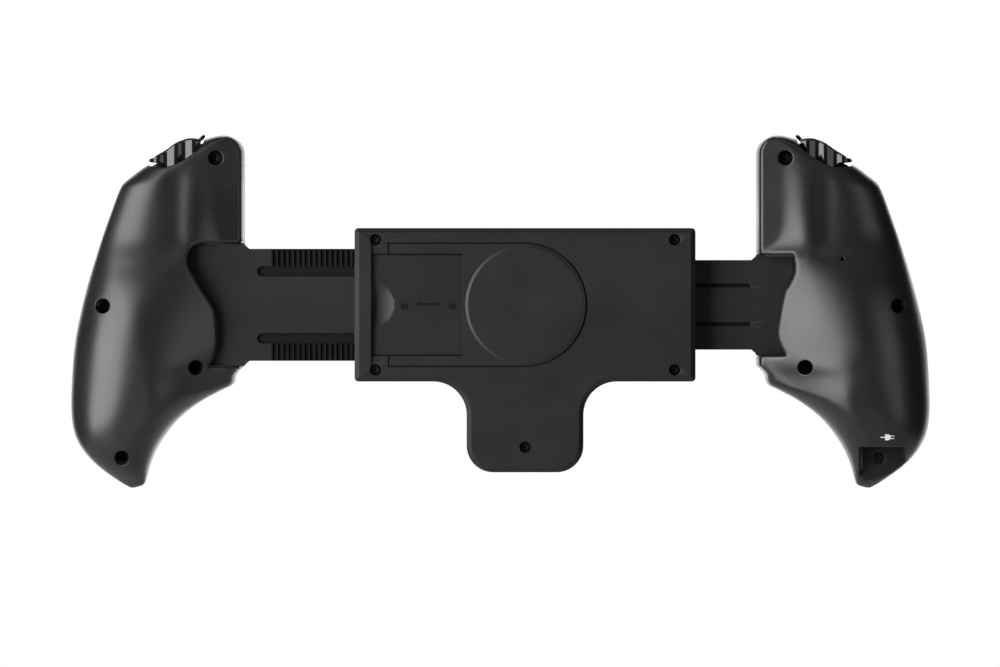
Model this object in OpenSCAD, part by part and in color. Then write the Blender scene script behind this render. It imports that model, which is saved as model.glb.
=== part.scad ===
// Telescopic game controller that clamps a phone or tablet between two hand grips.
// X runs along the arms, the back of the controller faces -Y and +Z is up.
// The origin is the middle of the pad that the back of the device rests on.
// The right grip is the player's right, so it lies at -X.

/* [Middle block] */
// Width of the block
block_w = 102.2; // [98:0.1:120]
// Height of the block
block_h = 46; // [45:0.1:56]
// Corner radius of the block
block_r = 1.2; // [0.8:0.1:3]
// Wall thickness of the block
block_wall = 1.8; // [1.4:0.1:2.4]
// Width of the key tab that hangs below the block
tab_w = 35; // [33:0.1:44]
// How far the tab reaches below the block
tab_drop = 27.2; // [26:0.1:36]
// Corner radius at the foot of the tab
tab_r = 8; // [4:0.1:10]
// Inside radius where the tab meets the block
tab_fillet = 10; // [4:0.1:12]
// Bevel along the back edges of the block
edge_bevel = 1.4; // [0.6:0.1:1.8]
// Distance of the corner screws from the block's ends
screw_inset_x = 6.3; // [5.5:0.1:9]
// Distance of the corner screws from the block's long edges
screw_inset_z = 3.5; // [3.3:0.1:4]

/* [Lock] */
// Radius of the round-ended lock plate opening
plate_r = 18.7; // [18:0.1:19.4]
// Straight reach of the lock plate from its round centre
plate_reach = 41.1; // [36:0.1:43]
// Groove round the lock plate
plate_groove = 0.5; // [0.3:0.1:0.9]
// Height of the round raised face on the lock plate
disc_rise = 0.35; // [0.2:0.05:0.8]
// Height of the lock slider
slider_h = 30.2; // [27:0.1:30.4]
// Thickness of the lock slider
slider_t = 1.6; // [1.5:0.1:2.4]
// Travel of the lock slider
slider_travel = 5; // [4:0.1:5]
// Radius of the finger dish in the slider
dish_r = 6.9; // [5:0.1:8]
// Depth of the finger dish
dish_depth = 1.2; // [0.5:0.1:1.2]
// How far the slider pushes the pawl towards the racks
lock_lift = 1; // [0.9:0.05:1]

/* [Arms] */
// Bare length of the toothed arm between block and grip
toothed_out = 33.35; // [28:0.05:60]
// Bare length of the smooth arm between block and grip
smooth_out = 18.65; // [15:0.05:40]
// Height of the toothed arm
toothed_h = 33.6; // [33:0.1:34]
// Thickness of the toothed arm
toothed_t = 2.6; // [2.2:0.1:4]
// Height of the smooth arm
smooth_h = 26.9; // [25:0.1:30]
// Thickness of the smooth arm
smooth_t = 2.4; // [2.2:0.1:4]
// Width of each rack along the toothed arm
rack_w = 5.2; // [4.6:0.1:5.6]
// Pitch of the rack teeth
tooth_pitch = 1.6; // [1.4:0.05:2]
// Depth of the rack teeth
tooth_depth = 1; // [0.8:0.05:1.1]
// Height of each slot beside the racks
slot_h = 3.1; // [2.8:0.1:3.4]
// Height of the thin slots in the smooth arm
thin_slot_h = 1.2; // [1:0.1:2]
// Distance of the thin slots from the arm's middle
thin_slot_z = 5.8; // [5:0.1:7]
// Depth of the grooves in the backs of the arms
back_groove = 1.1; // [0.8:0.05:1.2]
// Depth of the guide grooves in the fronts of the arms
guide_groove = 0.8; // [0.6:0.05:0.9]

/* [Grips] */
// Width of each grip
grip_w = 51.9; // [49:0.1:58]
// Height of each grip
grip_h = 105.8; // [102:0.1:116]
// Depth of the palm swell behind the parting line
swell_d = 19.5; // [18:0.1:24]
// Depth of the flat wing behind the parting line
wing_d = 7; // [6.9:0.1:8]
// Outward slope of the flat wing
wing_slope = 0.115; // [0:0.005:0.15]
// Height of the grip's face in front of the parting line
face_d = 13; // [12.9:0.1:14]
// Wall thickness of the grip shells
grip_wall = 1.8; // [1.5:0.1:2.2]
// Depth of the finger hollow below the shoulder buttons
hollow_d = 0.6; // [0:0.1:1.5]
// Depth of the device channel into the grip
channel_d = 6; // [4:0.1:7]
// Thickest device that the channel takes
channel_t = 8.5; // [7:0.1:9]

/* [Controls] */
// Radius of the stick caps
cap_r = 8.7; // [7:0.1:9]
// Radius of the direction pad
dpad_r = 11.6; // [9:0.1:11.8]
// Radius of the face buttons
face_r = 4.1; // [3:0.1:4.4]
// Distance of the face buttons from their middle
face_step = 8.6; // [8.2:0.1:9.4]
// Radius of the home button
home_r = 4.2; // [3:0.1:4.4]
// Radius of the media keys
key_r = 2.4; // [1.8:0.1:2.6]

/* [Clearances] */
// Gap between pieces that slide on each other
run_gap = 0.3; // [0.2:0.05:0.4]
// Gap round a piece that sits still in an opening
seat_gap = 0.2; // [0.1:0.05:0.3]

/* [Hidden] */
$fn = 48;

// Depth levels of the block, from the device rest towards the back
pad_t = 1;
front_t = 2;
cover_t = 1.8;
pawl_t = 1.15;
lock_plate_t = 1.1;
plate_sink = 0.2;
wedge_gap = 0.15;
y_front = -pad_t;
y_inside = y_front - front_t;
y_smooth = y_inside - run_gap;
y_smooth_back = y_smooth - smooth_t;
y_toothed = y_smooth_back - run_gap;
y_toothed_back = y_toothed - toothed_t;
y_split = (y_smooth_back + y_toothed) / 2;
y_pawl = y_toothed_back - run_gap;
y_pawl_body = y_pawl - tooth_depth;
y_pawl_back = y_pawl_body - pawl_t;
y_wedge = y_pawl_back - wedge_gap;
y_slider = y_wedge - lock_lift;
y_slider_back = y_slider - slider_t;
y_plate = y_slider_back - seat_gap;
y_plate_back = y_plate - lock_plate_t;
y_back = y_plate_back - plate_sink;

// Places along X
block_end = block_w / 2;
right_edge = -block_end - toothed_out;
left_edge = block_end + smooth_out;
tab_foot = -block_h / 2 - tab_drop;

// Lock sizes
window_left = -block_end + 4.9;
window_right = -plate_r - 0.05;
window_h = slider_h + 2 * seat_gap;
slider_left = window_left - 2.3;
slider_right = window_right + 1.75;
wedge_top_x = slider_left + 12.5;
wedge_low_x = wedge_top_x + slider_travel;
wedge_h = 4.5;
wedge_z = slider_h / 2 - 0.6 - wedge_h / 2;
pawl_left = wedge_top_x - 5;
pawl_len = 17;
pawl_h = slider_h - 0.2;
rail_w = 1.9;
strip_w = 1.8;
strip_rise = 0.3;
step_depth = 0.7;
disc_r = plate_r - plate_groove - 0.3;
disc_bevel = 0.8;

// Rack sizes: a groove is a trapezium, and a pawl tooth fits in it with room to spare
groove_top = tooth_pitch * 0.69;
groove_foot = tooth_pitch * 0.31;
tooth_tip = tooth_pitch * 0.13;
tooth_base = tooth_pitch * 0.56;
rack_start = right_edge + 9.25;
toothed_end = 20;
toothed_travel_out = 32 * tooth_pitch;
slot_start = right_edge + 4.05;
slot_z = toothed_h / 2 - rack_w - slot_h / 2;
guide_r = slot_h / 2 - run_gap;
guide_x = -block_end + 5.1;
slot_end = guide_x + guide_r + toothed_travel_out + run_gap + slot_h / 2;
smooth_end = -16;
smooth_travel = 45;
rib_x = block_end - 13;
rib_len = 11;
thin_slot_start = left_edge - 1.95;
thin_slot_end = rib_x - smooth_travel - run_gap;
flare = 1.5;
arm_pin_u = 4.8;
arm_pin_r = 1.5;
fork_h = 3.6;
fork_end = 14;
spring_r = 1.0;
spring_wire = 0.2;
spring_turns = 14;
spring_post_r = 0.8;
spring_post_x = -42;
hook_x = fork_end + 1.2;

// Grip sizes: the outline is given for a grip 51.9 wide and 105.8 high, and follows both
su = grip_w / 51.9;
sz = grip_h / 105.8;
sd = swell_d / 19.5;
y_part = -2;
grip_low = -54.9 * sz;
grip_top = 50.9 * sz;
inner_edge = [[-54.9, 32.9], [-54.2, 30.4], [-52.2, 29.3], [-48.6, 28.3], [-45, 26.9], [-40.6, 24.5],
    [-35.7, 20.9], [-31.9, 16.9], [-28.3, 11.7], [-25.6, 6.6], [-24.2, 3.8], [-23, 2.9], [-21.3, 2.6],
    [-19.4, 1.4], [-18.4, 0.1], [-17, 0], [10, 0], [45.5, 0]];
outer_edge = [[-54.9, 33.9], [-54, 35.8], [-50.6, 41], [-47.4, 45], [-43.8, 48.2], [-39.4, 50.6],
    [-34.9, 51.6], [-29.3, 51.9], [-21.3, 51.6], [-11.6, 50.8], [-3.2, 49.2], [6.8, 46.7],
    [20.3, 42.5], [27.9, 39.8], [33.6, 37.7], [36.3, 36.3], [38.6, 33.6], [41.9, 29],
    [45.5, 20.9], [49.9, 11], [50.5, 9.1], [50.9, 7.1]];
crest = [[-54.9, 5], [-50, 10], [-42, 14.5], [-30, 18], [-15, 19.5], [-4, 18.6], [5, 16.6], [13, 13.6],
    [20, 11], [28, 10], [38, 9.4], [45, 8.6], [50.9, 7.4]];
rise_start = [[-54.9, 20], [-45, 16], [-36, 12], [-28, 9], [-22, 5], [-18, 1], [-12, -4], [0, -8],
    [8, -8], [13.5, -6], [17, 2], [21, 6], [28, 7], [50.9, 7]];
rise_len = [[-54.9, 10], [-45, 14], [-36, 18], [-28, 20], [-22, 25], [-18, 29], [-12, 37], [0, 40],
    [8, 36], [13.5, 27], [17, 17], [21, 12], [28, 11], [50.9, 10]];
inner_round = [[-54.9, 5], [-45, 9], [-30, 10], [-25, 6], [-20, 2], [-17, 1.6], [50.9, 1.6]];
outer_round = [[-54.9, 9], [-45, 13], [-37, 15], [-28, 19], [-10, 21], [5, 20], [15, 18], [25, 15.5],
    [40, 12], [50.9, 5]];
face_level = [[-54.9, 5], [-48, 9], [-38, 12], [-28, 13], [0, 13], [50.9, 13]];

// Places on a grip, outwards from its inner edge and up
grip_screws = [[8.4, 44.1], [42.2, -0.3], [14.2, -18.8], [36.4, -45.9]];
upper_spot = [22.6, 20];
lower_spot = [29, -12];
side_key_spot = [13.2, 2];
pin_spot = [14.6, 44.8];
reset_spot = [25.4, 13.7];

// Grip depths
y_face = y_part + face_d;
y_face_in = y_face - grip_wall;
well_floor = -5.5;
well_r = 2.2;
boss_r = 3.2;
screw_r = 1;
board_t = 1.6;
pivot_y = 3.4;
base_r = 8.4;
base_top = pivot_y + 1.6;
dome_r = 10.2;
dome_t = 1.2;
shoulder_split = -1;
trigger_back = -5.8;
shoulder_front = 6.8;
recess_low_u = 30.5;
recess_high_u = 44.4;
recess_z = -42.6;
recess_floor = -6.5;
recess_wall = 1.2;

// Helpers

// A flat shape drawn in X and Z, given depth from y0 back to y1
module slab(y0, y1) {
    translate([0, y0, 0]) rotate([90, 0, 0]) linear_extrude(y0 - y1) children();
}

// A round post along Y
module post(spot, r, y0, y1) {
    slab(y0, y1) translate(spot) circle(r);
}

// A rectangle with round corners, centred
module round_rect(w, h, r) {
    square([w - 2 * r, h], center = true);
    square([w, h - 2 * r], center = true);
    for (x = [-1, 1], z = [-1, 1]) translate([x * (w / 2 - r), z * (h / 2 - r)]) circle(r);
}

// A slot with round ends from x0 to x1
module pill(x0, x1, z, h) {
    translate([x0 + h / 2, z - h / 2]) square([x1 - x0 - h, h]);
    for (x = [x0 + h / 2, x1 - h / 2]) translate([x, z]) circle(h / 2);
}

module both_sides() {
    children();
    mirror([0, 0, 1]) children();
}

module at_right() {
    translate([right_edge, 0, 0]) mirror([1, 0, 0]) children();
}

module at_left() {
    translate([left_edge, 0, 0]) children();
}

function spot(p) = [p[0] * su, p[1] * sz];

// Smooth curve through points sorted by their first value
function slope(p, i) =
    let (a = max(i - 1, 0), b = min(i + 1, len(p) - 1)) (p[b][1] - p[a][1]) / (p[b][0] - p[a][0]);
function segment(p, x, i = 0) = i >= len(p) - 2 || x <= p[i + 1][0] ? i : segment(p, x, i + 1);
function curve(p, x) =
    let (i = segment(p, x), h = p[i + 1][0] - p[i][0], t = max(0, min(1, (x - p[i][0]) / h)))
    let (a = p[i][1], b = p[i + 1][1], m = slope(p, i) * h, n = slope(p, i + 1) * h)
    a + t * m + t * t * (3 * (b - a) - 2 * m - n) + t * t * t * (2 * (a - b) + m + n);
function ease(a, b, x) = let (t = max(0, min(1, (x - a) / (b - a)))) t * t * (3 - 2 * t);
function rounding(d, r) = let (t = max(0, min(1, d / r))) pow(1 - pow(1 - t, 2.2), 1 / 2.2);

// Grip form: edges, back and face at a height z, moved inwards by an inset

function edge_in(z) =
    let (h = z / sz, drop = max(0, 1 - pow((h - 45.5) / 5.4, 2)))
    su * (h > 45.5 ? 6.1 * (1 - sqrt(drop)) : curve(inner_edge, h));
function edge_out(z) = su * curve(outer_edge, z / sz);
function end_rounding(z, inset, low_r, top_r) =
    rounding(grip_top - inset - z, top_r) * rounding(z - grip_low - inset, low_r);

// Finger hollow between the wing and the outer crest
function hollow(u, z) =
    let (h = z / sz, fade = ease(13, 19, h) * ease(44, 36, h))
    hollow_d * fade * exp(-pow((u / su - 20) / 3.6, 2));

function back_depth(u, z) =
    let (h = z / sz, a = curve(rise_start, h), top = max(wing_d, curve(crest, h) * sd))
    let (wing = wing_d + wing_slope * u)
    wing + (top - wing) * ease(a, a + curve(rise_len, h), u / su) - hollow(u, z);

function back_y(u, z, inset) =
    let (h = z / sz, a = edge_in(z) + inset, b = edge_out(z) - inset)
    y_part - (back_depth(u, z) - inset) * rounding(u - a, curve(inner_round, h))
        * rounding(b - u, curve(outer_round, h)) * end_rounding(z, inset, 7, 1.6);

function face_y(u, z, inset) =
    let (a = edge_in(z) + inset, b = edge_out(z) - inset)
    y_part + (curve(face_level, z / sz) * face_d / 13 - inset) * rounding(u - a, 1.2)
        * rounding(b - u, 6) * end_rounding(z, inset, 8, 3);

function span(a, b, n) = [for (i = [0:n - 1]) a + (b - a) * i / n];
stations = concat([-54.9, -54.5, -53.4, -51.6], span(-49.2, -25.6, 6), span(-25.6, -17, 5),
    span(-17, 8, 5), span(8, 18, 4), span(18, 42, 6), [42, 44.6, 47, 49, 50.2, 50.9]);
columns = 12;

// One skin of a grip as rows of points, one row for each station
function skin(face, inset) =
    [for (s = stations)
        let (z = grip_low + inset + (s + 54.9) / 105.8 * (grip_h - 2 * inset))
        let (a = edge_in(z) + inset, b = max(a + 0.4, edge_out(z) - inset))
        let (start = face && inset > 1 ? min(b - 0.3, max(a, channel_d + 2)) : a)
        [for (k = [0:columns])
            let (u = start + (b - start) * (1 - cos(180 * k / columns)) / 2)
            [u, k == 0 || k == columns ? y_part : (face ? face_y(u, z, inset) : back_y(u, z, inset)), z]]];

function flat(rows) = [for (r = rows, p = r) p];

// Hollow half of a grip, open at the parting line
module grip_skin(face) {
    rows = len(stations);
    wide = columns + 1;
    size = rows * wide;
    function quad(a, b, c, d) = [[a, b, c], [a, c, d]];
    outside = [for (j = [0:rows - 2], k = [0:columns - 1], f = quad(j * wide + k, j * wide + k + 1,
        (j + 1) * wide + k + 1, (j + 1) * wide + k)) f];
    inside = [for (f = outside) [f[0] + size, f[2] + size, f[1] + size]];
    sides = [for (j = [0:rows - 2], f = concat(
        quad(j * wide, (j + 1) * wide, (j + 1) * wide + size, j * wide + size),
        quad((j + 1) * wide + columns, j * wide + columns, j * wide + columns + size,
            (j + 1) * wide + columns + size))) f];
    ends = [for (k = [0:columns - 1], f = concat(
        quad(k + 1, k, k + size, k + 1 + size),
        quad(size - wide + k, size - wide + k + 1, 2 * size - wide + k + 1, 2 * size - wide + k))) f];
    faces = concat(outside, inside, sides, ends);
    polyhedron(concat(flat(skin(face, 0)), flat(skin(face, grip_wall))),
        face ? faces : [for (f = faces) [f[0], f[2], f[1]]]);
}

// Solid half of a grip, a little smaller than its outside, which trims what is inside the skin
module grip_core(face) {
    rows = len(stations);
    wide = columns + 1;
    inset = grip_wall * 0.4;
    points = flat(skin(face, inset));
    shell = [for (j = [0:rows - 2], k = [0:columns - 1]) each [
        [j * wide + k, j * wide + k + 1, (j + 1) * wide + k + 1],
        [j * wide + k, (j + 1) * wide + k + 1, (j + 1) * wide + k]]];
    last = (rows - 1) * wide;
    before = last - wide;
    flat_side = concat(
        [[wide, wide + columns, columns]],
        [for (k = [0:columns - 1]) [wide, k + 1, k]],
        [for (j = [1:rows - 3]) each [
            [j * wide, (j + 1) * wide, (j + 1) * wide + columns],
            [j * wide, (j + 1) * wide + columns, j * wide + columns]]],
        [for (k = [0:columns - 1]) [before, last + k, last + k + 1]],
        [[before, last + columns, before + columns]]);
    faces = concat(shell, flat_side);
    polyhedron(points, face ? faces : [for (f = faces) [f[0], f[2], f[1]]]);
}

// Middle block

module block_outline(inset) {
    w = tab_w / 2 - inset;
    r = tab_fillet + inset;
    foot = -block_h / 2 + inset;
    round_rect(block_w - 2 * inset, block_h - 2 * inset, max(block_r - inset, 0.3));
    translate([0, (tab_foot + inset) / 2])
        round_rect(2 * w, -tab_foot - inset, max(tab_r - inset, 0.5));
    for (side = [-1, 1]) difference() {
        translate([side * (w + r / 2 - 0.5), foot - r / 2 + 0.5]) square([r + 1, r + 1], center = true);
        translate([side * (w + r), foot - r]) circle(r);
        translate([side * (w + r + 5), foot - r / 2]) square([10, 4 * r], center = true);
        translate([side * (w + r / 2), foot - r - 5]) square([4 * r, 10], center = true);
    }
}

corner_screws = [for (x = [-1, 1], z = [-1, 1])
    [x * (block_end - screw_inset_x), z * (block_h / 2 - screw_inset_z)]];
tab_screw = [0, tab_foot + 7.5];
block_screw_spots = concat(corner_screws, [tab_screw]);
block_head_floor = y_back + 3;
block_head_r = 1.7;
block_boss_r = 2.4;

// Three-sided cutter for a straight back edge from p to q
module edge_cut(p, q) {
    along = q - p;
    translate([p[0], y_back, p[1]]) rotate([0, -atan2(along[1], along[0]), 0])
        translate([-2, 0, 0]) rotate([0, 90, 0]) linear_extrude(norm(along) + 4)
            polygon([[-0.01, -1], [edge_bevel + 1, -1], [-0.01, edge_bevel]]);
}

// Cutter for the round back edges of the tab's foot
module corner_cut() {
    for (side = [-1, 1]) intersection() {
        translate([side * (tab_w / 2 - tab_r), 0, tab_foot + tab_r]) rotate([90, 0, 0])
            translate([0, 0, -y_back - edge_bevel]) rotate_extrude()
                polygon([[tab_r, 0], [tab_r + 2, 0], [tab_r + 2, edge_bevel + 1],
                    [tab_r - edge_bevel - 1, edge_bevel + 1]]);
        translate([side * (tab_w / 2 - tab_r / 2 + 1), y_back, tab_foot + tab_r / 2 - 1])
            cube([tab_r + 2, 10, tab_r + 2], center = true);
    }
}

// Cutter for the hollow back edges where the tab meets the block
module fillet_cut() {
    for (side = [-1, 1]) intersection() {
        translate([side * (tab_w / 2 + tab_fillet), 0, -block_h / 2 - tab_fillet]) rotate([90, 0, 0])
            translate([0, 0, -y_back - edge_bevel]) rotate_extrude()
                polygon([[0, 0], [tab_fillet, 0], [tab_fillet + edge_bevel + 1, edge_bevel + 1],
                    [0, edge_bevel + 1]]);
        translate([side * (tab_w / 2 + tab_fillet / 2 - 2), y_back, -block_h / 2 - tab_fillet / 2 + 2])
            cube([tab_fillet + 4, 10, tab_fillet + 4], center = true);
    }
}

module bullet(grow) {
    circle(plate_r + grow);
    translate([-plate_reach - grow, -plate_r - grow]) square([plate_reach + grow, 2 * (plate_r + grow)]);
}

module slider_window() {
    translate([window_left, -window_h / 2]) square([window_right - window_left, window_h]);
}

module block_rear_cover() {
    slider_room_left = slider_left - 0.8;
    slider_room_right = slider_right + slider_travel + 0.5;
    floor_back = y_plate + 1.7;
    color("#2e2e30") difference() {
        union() {
            difference() {
                slab(y_split, y_back) block_outline(0);
                slab(y_split + 1, y_back + cover_t) block_outline(block_wall);
            }
            for (s = block_screw_spots) post(s, block_boss_r, y_split, y_back + 0.6);
            slab(y_back + 0.5, y_back - strip_rise) translate([window_left - strip_w, -toothed_h / 2])
                square([strip_w, toothed_h]);
            intersection() {
                slab(floor_back, y_back + 0.6) bullet(1.6);
                slab(floor_back + 1, y_back) block_outline(block_wall / 2);
            }
            for (z = [-1, 1]) {
                slab(y_pawl - 0.1, y_back + 0.6)
                    translate([(slider_room_left + slider_room_right) / 2, z * (window_h + rail_w) / 2])
                        square([slider_room_right - slider_room_left, rail_w], center = true);
                for (x = [pawl_left - 1.3, pawl_left + pawl_len + 1.3])
                    slab(y_pawl - 0.1, y_wedge + 0.2) translate([x, z * (window_h / 2 - 0.5)])
                        square([2, 2.6], center = true);
                for (x = [-12, 12]) post([x * tab_w / 35, tab_foot + 24 - 16 * (z + 1) / 2], 1.5,
                    y_tab_board - board_t, y_back + 0.6);
            }
        }
        slab(y_plate, y_back - 1) bullet(0);
        slab(y_back + step_depth, y_back - 1) translate([window_left, -plate_r])
            square([1 - plate_reach - window_left, 2 * plate_r]);
        slab(y_pawl + 1, y_back - 1) slider_window();
        slab(y_pawl + 1, y_plate)
            translate([slider_room_left, -window_h / 2 + 0.05])
                square([slider_room_right - slider_room_left, window_h - 0.1]);
        slab(y_split + 1, y_toothed_back - run_gap)
            translate([-block_end - 1, -toothed_h / 2 - run_gap])
                square([block_wall + 2, toothed_h + 2 * run_gap]);
        for (s = block_screw_spots) {
            post(s, screw_r + 0.1, y_split + 1, y_back - 1);
            post(s, block_head_r, block_head_floor, y_back - 1);
        }
        edge_cut([-block_end, block_h / 2], [block_end, block_h / 2]);
        edge_cut([block_end, block_h / 2], [block_end, -block_h / 2]);
        edge_cut([-block_end, -block_h / 2], [-block_end, block_h / 2]);
        edge_cut([block_end, -block_h / 2], [tab_w / 2 + tab_fillet + 2, -block_h / 2]);
        edge_cut([-tab_w / 2 - tab_fillet - 2, -block_h / 2], [-block_end, -block_h / 2]);
        edge_cut([tab_w / 2, -block_h / 2 - tab_fillet - 2], [tab_w / 2, tab_foot + tab_r + 2]);
        edge_cut([-tab_w / 2, tab_foot + tab_r + 2], [-tab_w / 2, -block_h / 2 - tab_fillet - 2]);
        edge_cut([tab_w / 2 - tab_r - 2, tab_foot], [tab_r + 2 - tab_w / 2, tab_foot]);
        corner_cut();
        fillet_cut();
    }
}

// Keys on the front of the tab
key_flange_t = 1;
key_travel = 0.7;
y_key_back = y_inside - run_gap - key_flange_t;
y_mat_top = y_key_back - key_travel - run_gap;
mat_t = 1.6;
y_tab_board = y_mat_top - mat_t;
home_spot = [0, tab_foot + 15.7];
media_spots = [[-11, tab_foot + 20.2], [0, tab_foot + 24.3], [11, tab_foot + 20.2],
    [-11, tab_foot + 10.2], [11, tab_foot + 10.2]];

module tab_key(s, r, rise) {
    color("#1d1d1f") {
        post(s, r, y_front + rise, y_key_back + key_flange_t - 0.1);
        post(s, r + 0.7, y_key_back + key_flange_t, y_key_back);
    }
}

module home_button() { tab_key(home_spot, home_r, 0.8); }
module previous_key() { tab_key(media_spots[0], key_r, 0.6); }
module play_key() { tab_key(media_spots[1], key_r, 0.6); }
module next_key() { tab_key(media_spots[2], key_r, 0.6); }
module volume_down_key() { tab_key(media_spots[3], key_r, 0.6); }
module volume_up_key() { tab_key(media_spots[4], key_r, 0.6); }

module block_front_plate() {
    color("#29292b") difference() {
        union() {
            difference() {
                slab(y_front, y_split) block_outline(0);
                slab(y_inside, y_split - 1) block_outline(block_wall);
            }
            for (s = block_screw_spots) post(s, block_boss_r, y_front - 0.5, y_split);
            for (z = [-1, 1]) {
                post([guide_x, z * slot_z], guide_r, y_front - 0.5, y_toothed - guide_groove + run_gap);
                slab(y_front - 0.5, y_smooth - guide_groove + run_gap)
                    translate([rib_x + rib_len / 2, z * thin_slot_z])
                        square([rib_len, thin_slot_h - 2 * run_gap], center = true);
            }
            post([spring_post_x, 0], spring_post_r, y_front - 0.5, y_smooth_back);
        }
        slab(y_smooth + run_gap, y_split - 1)
            translate([block_end - block_wall - 1, -smooth_h / 2 - run_gap])
                square([block_wall + 2, smooth_h + 2 * run_gap]);
        for (s = block_screw_spots) post(s, screw_r, y_inside + 0.8, y_split - 1);
        post(home_spot, home_r + run_gap, y_front + 1, y_inside - 1);
        for (s = media_spots) post(s, key_r + run_gap, y_front + 1, y_inside - 1);
    }
}

module device_rest_pad() {
    color("#1a1a1b") difference() {
        slab(0, y_front) round_rect(block_w - 26, block_h - 10, 3);
        for (z = [-1.5:1.5]) slab(1, -pad_t * 0.4) translate([0, z * 6]) round_rect(block_w - 36, 1.2, 0.5);
    }
}

module lock_plate() {
    color("#2b2b2d") difference() {
        union() {
            slab(y_plate, y_plate_back) bullet(-plate_groove);
            translate([0, y_plate_back + 0.2, 0]) rotate([90, 0, 0]) rotate_extrude()
                polygon([[0, 0], [disc_r, 0], [disc_r, 0.2], [disc_r - disc_bevel, disc_rise + 0.2],
                    [0, disc_rise + 0.2]]);
        }
        slab(y_plate + 1, y_plate_back - 1) slider_window();
    }
}

module block_screws() {
    color("#57575a") for (s = block_screw_spots) difference() {
        union() {
            post(s, block_head_r - seat_gap, block_head_floor, block_head_floor - 1.2);
            post(s, screw_r - 0.1, y_inside, block_head_floor - 0.3);
        }
        for (a = [0, 90]) slab(block_head_floor - 0.6, block_head_floor - 2)
            translate(s) rotate(a) square([1.8, 0.4], center = true);
    }
}

module tab_circuit_board() {
    color("#1f5c3a") difference() {
        slab(y_tab_board, y_tab_board - board_t)
            translate([0, tab_foot + 16.9]) round_rect(tab_w - 5.5, 20.8, 1);
        post(tab_screw, block_boss_r + seat_gap, 0, -20);
    }
}

module tab_key_mat() {
    color("#8d8f92") {
        difference() {
            slab(y_tab_board + 0.8, y_tab_board)
                translate([0, tab_foot + 17.3]) round_rect(tab_w - 7, 18.6, 1);
            post(tab_screw, block_boss_r + 0.6, 0, -20);
        }
        for (s = media_spots) post(s, key_r - 0.6, y_mat_top, y_tab_board + 0.7);
        post(home_spot, home_r - 1, y_mat_top, y_tab_board + 0.7);
    }
}

// Coil along X as one swept tube
module clamp_spring() {
    rings = 8;
    sides = 6;
    x0 = spring_post_x + spring_post_r + 0.1 + spring_wire;
    x1 = hook_x - 1.1 - spring_wire;
    y = (y_smooth + y_smooth_back) / 2;
    count = spring_turns * rings;
    points = [for (i = [0:count], k = [0:sides - 1])
        let (turn = 360 * i / rings, r = spring_r + spring_wire * cos(360 * k / sides))
        let (x = x0 + (x1 - x0) * i / count + spring_wire * sin(360 * k / sides))
        [x, y + r * cos(turn), r * sin(turn)]];
    tube = [for (i = [0:count - 1], k = [0:sides - 1]) let (n = (k + 1) % sides) each [
        [i * sides + k, i * sides + n, (i + 1) * sides + n],
        [i * sides + k, (i + 1) * sides + n, (i + 1) * sides + k]]];
    caps = [[for (k = [sides - 1:-1:0]) k], [for (k = [0:sides - 1]) count * sides + k]];
    color("#b9bcc0") polyhedron(points, concat(tube, caps));
}

// Lock

module wedge() {
    both_sides() translate([0, 0, wedge_z - wedge_h / 2]) linear_extrude(wedge_h) children();
}

module lock_slider() {
    dish_ball = (dish_r * dish_r + dish_depth * dish_depth) / (2 * dish_depth);
    color("#323234") difference() {
        union() {
            slab(y_slider, y_slider_back)
                translate([slider_left, -slider_h / 2]) square([slider_right - slider_left, slider_h]);
            wedge() polygon([[slider_left + 1, y_slider - 0.5], [slider_left + 1, y_wedge],
                [wedge_top_x, y_wedge], [wedge_low_x, y_slider], [wedge_low_x, y_slider - 0.5]]);
        }
        translate([window_left + 0.4, y_slider_back + dish_depth - dish_ball, 0])
            sphere(dish_ball, $fn = 96);
    }
}

module lock_pawl() {
    teeth = floor((pawl_len - 1) / tooth_pitch);
    first = ceil((pawl_left + tooth_base - rack_start) / tooth_pitch);
    centre = rack_start + first * tooth_pitch;
    pad_z = toothed_h / 2 - rack_w + 0.3;
    color("#d8d8d4") {
        slab(y_pawl_body, y_pawl_back) difference() {
            translate([pawl_left, -pawl_h / 2]) square([pawl_len, pawl_h]);
            translate([pawl_left + 3, -6]) square([pawl_len - 6, 12]);
        }
        wedge() polygon([[wedge_top_x, y_pawl_back + 0.5], [wedge_top_x, y_pawl_back],
            [wedge_low_x, y_pawl_back - lock_lift], [wedge_low_x + 1.5, y_pawl_back - lock_lift],
            [wedge_low_x + 1.5, y_pawl_back + 0.5]]);
        both_sides() translate([0, 0, pad_z]) linear_extrude(pawl_h / 2 - pad_z)
            polygon(concat([[centre - tooth_base / 2, y_pawl_body - 0.3]],
                [for (i = [0:teeth - 1]) let (x = centre + i * tooth_pitch) each [
                    [x - tooth_base / 2, y_pawl_body], [x - tooth_tip / 2, y_pawl],
                    [x + tooth_tip / 2, y_pawl], [x + tooth_base / 2, y_pawl_body]]],
                [[centre + (teeth - 1) * tooth_pitch + tooth_base / 2, y_pawl_body - 0.3]]));
    }
}

// Arms

// Edge where the grip's back rises over the root of each arm, outwards from the grip's inner edge
toothed_root = [[11.4, 18.3], [14, 17.9], [15.6, 16.4], [16.4, 13.7], [16, 11], [14.6, 8.8], [13, 6.1],
    [11, 3], [9.5, 0.7], [8.2, -1.6], [7.5, -7], [7.4, -11.6], [8.3, -14.9], [10, -18.3]];
smooth_root = [[10.4, 15], [10.8, 12], [10.7, 9.5], [9.1, 6.1], [7.8, 4], [6.2, -3.7], [5.6, -8.8],
    [6.8, -12.8], [8, -15]];

// Root of an arm inside a grip, grown by a gap
module root_outline(edge, arm_h, gap) {
    base = edge[0][1];
    half = arm_h / 2 + flare + gap;
    polygon(concat([[-gap - 0.5, -half], [-gap - 0.5, half]],
        [for (p = edge) [p[0] + gap, p[1] / base * half]]));
}

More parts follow.
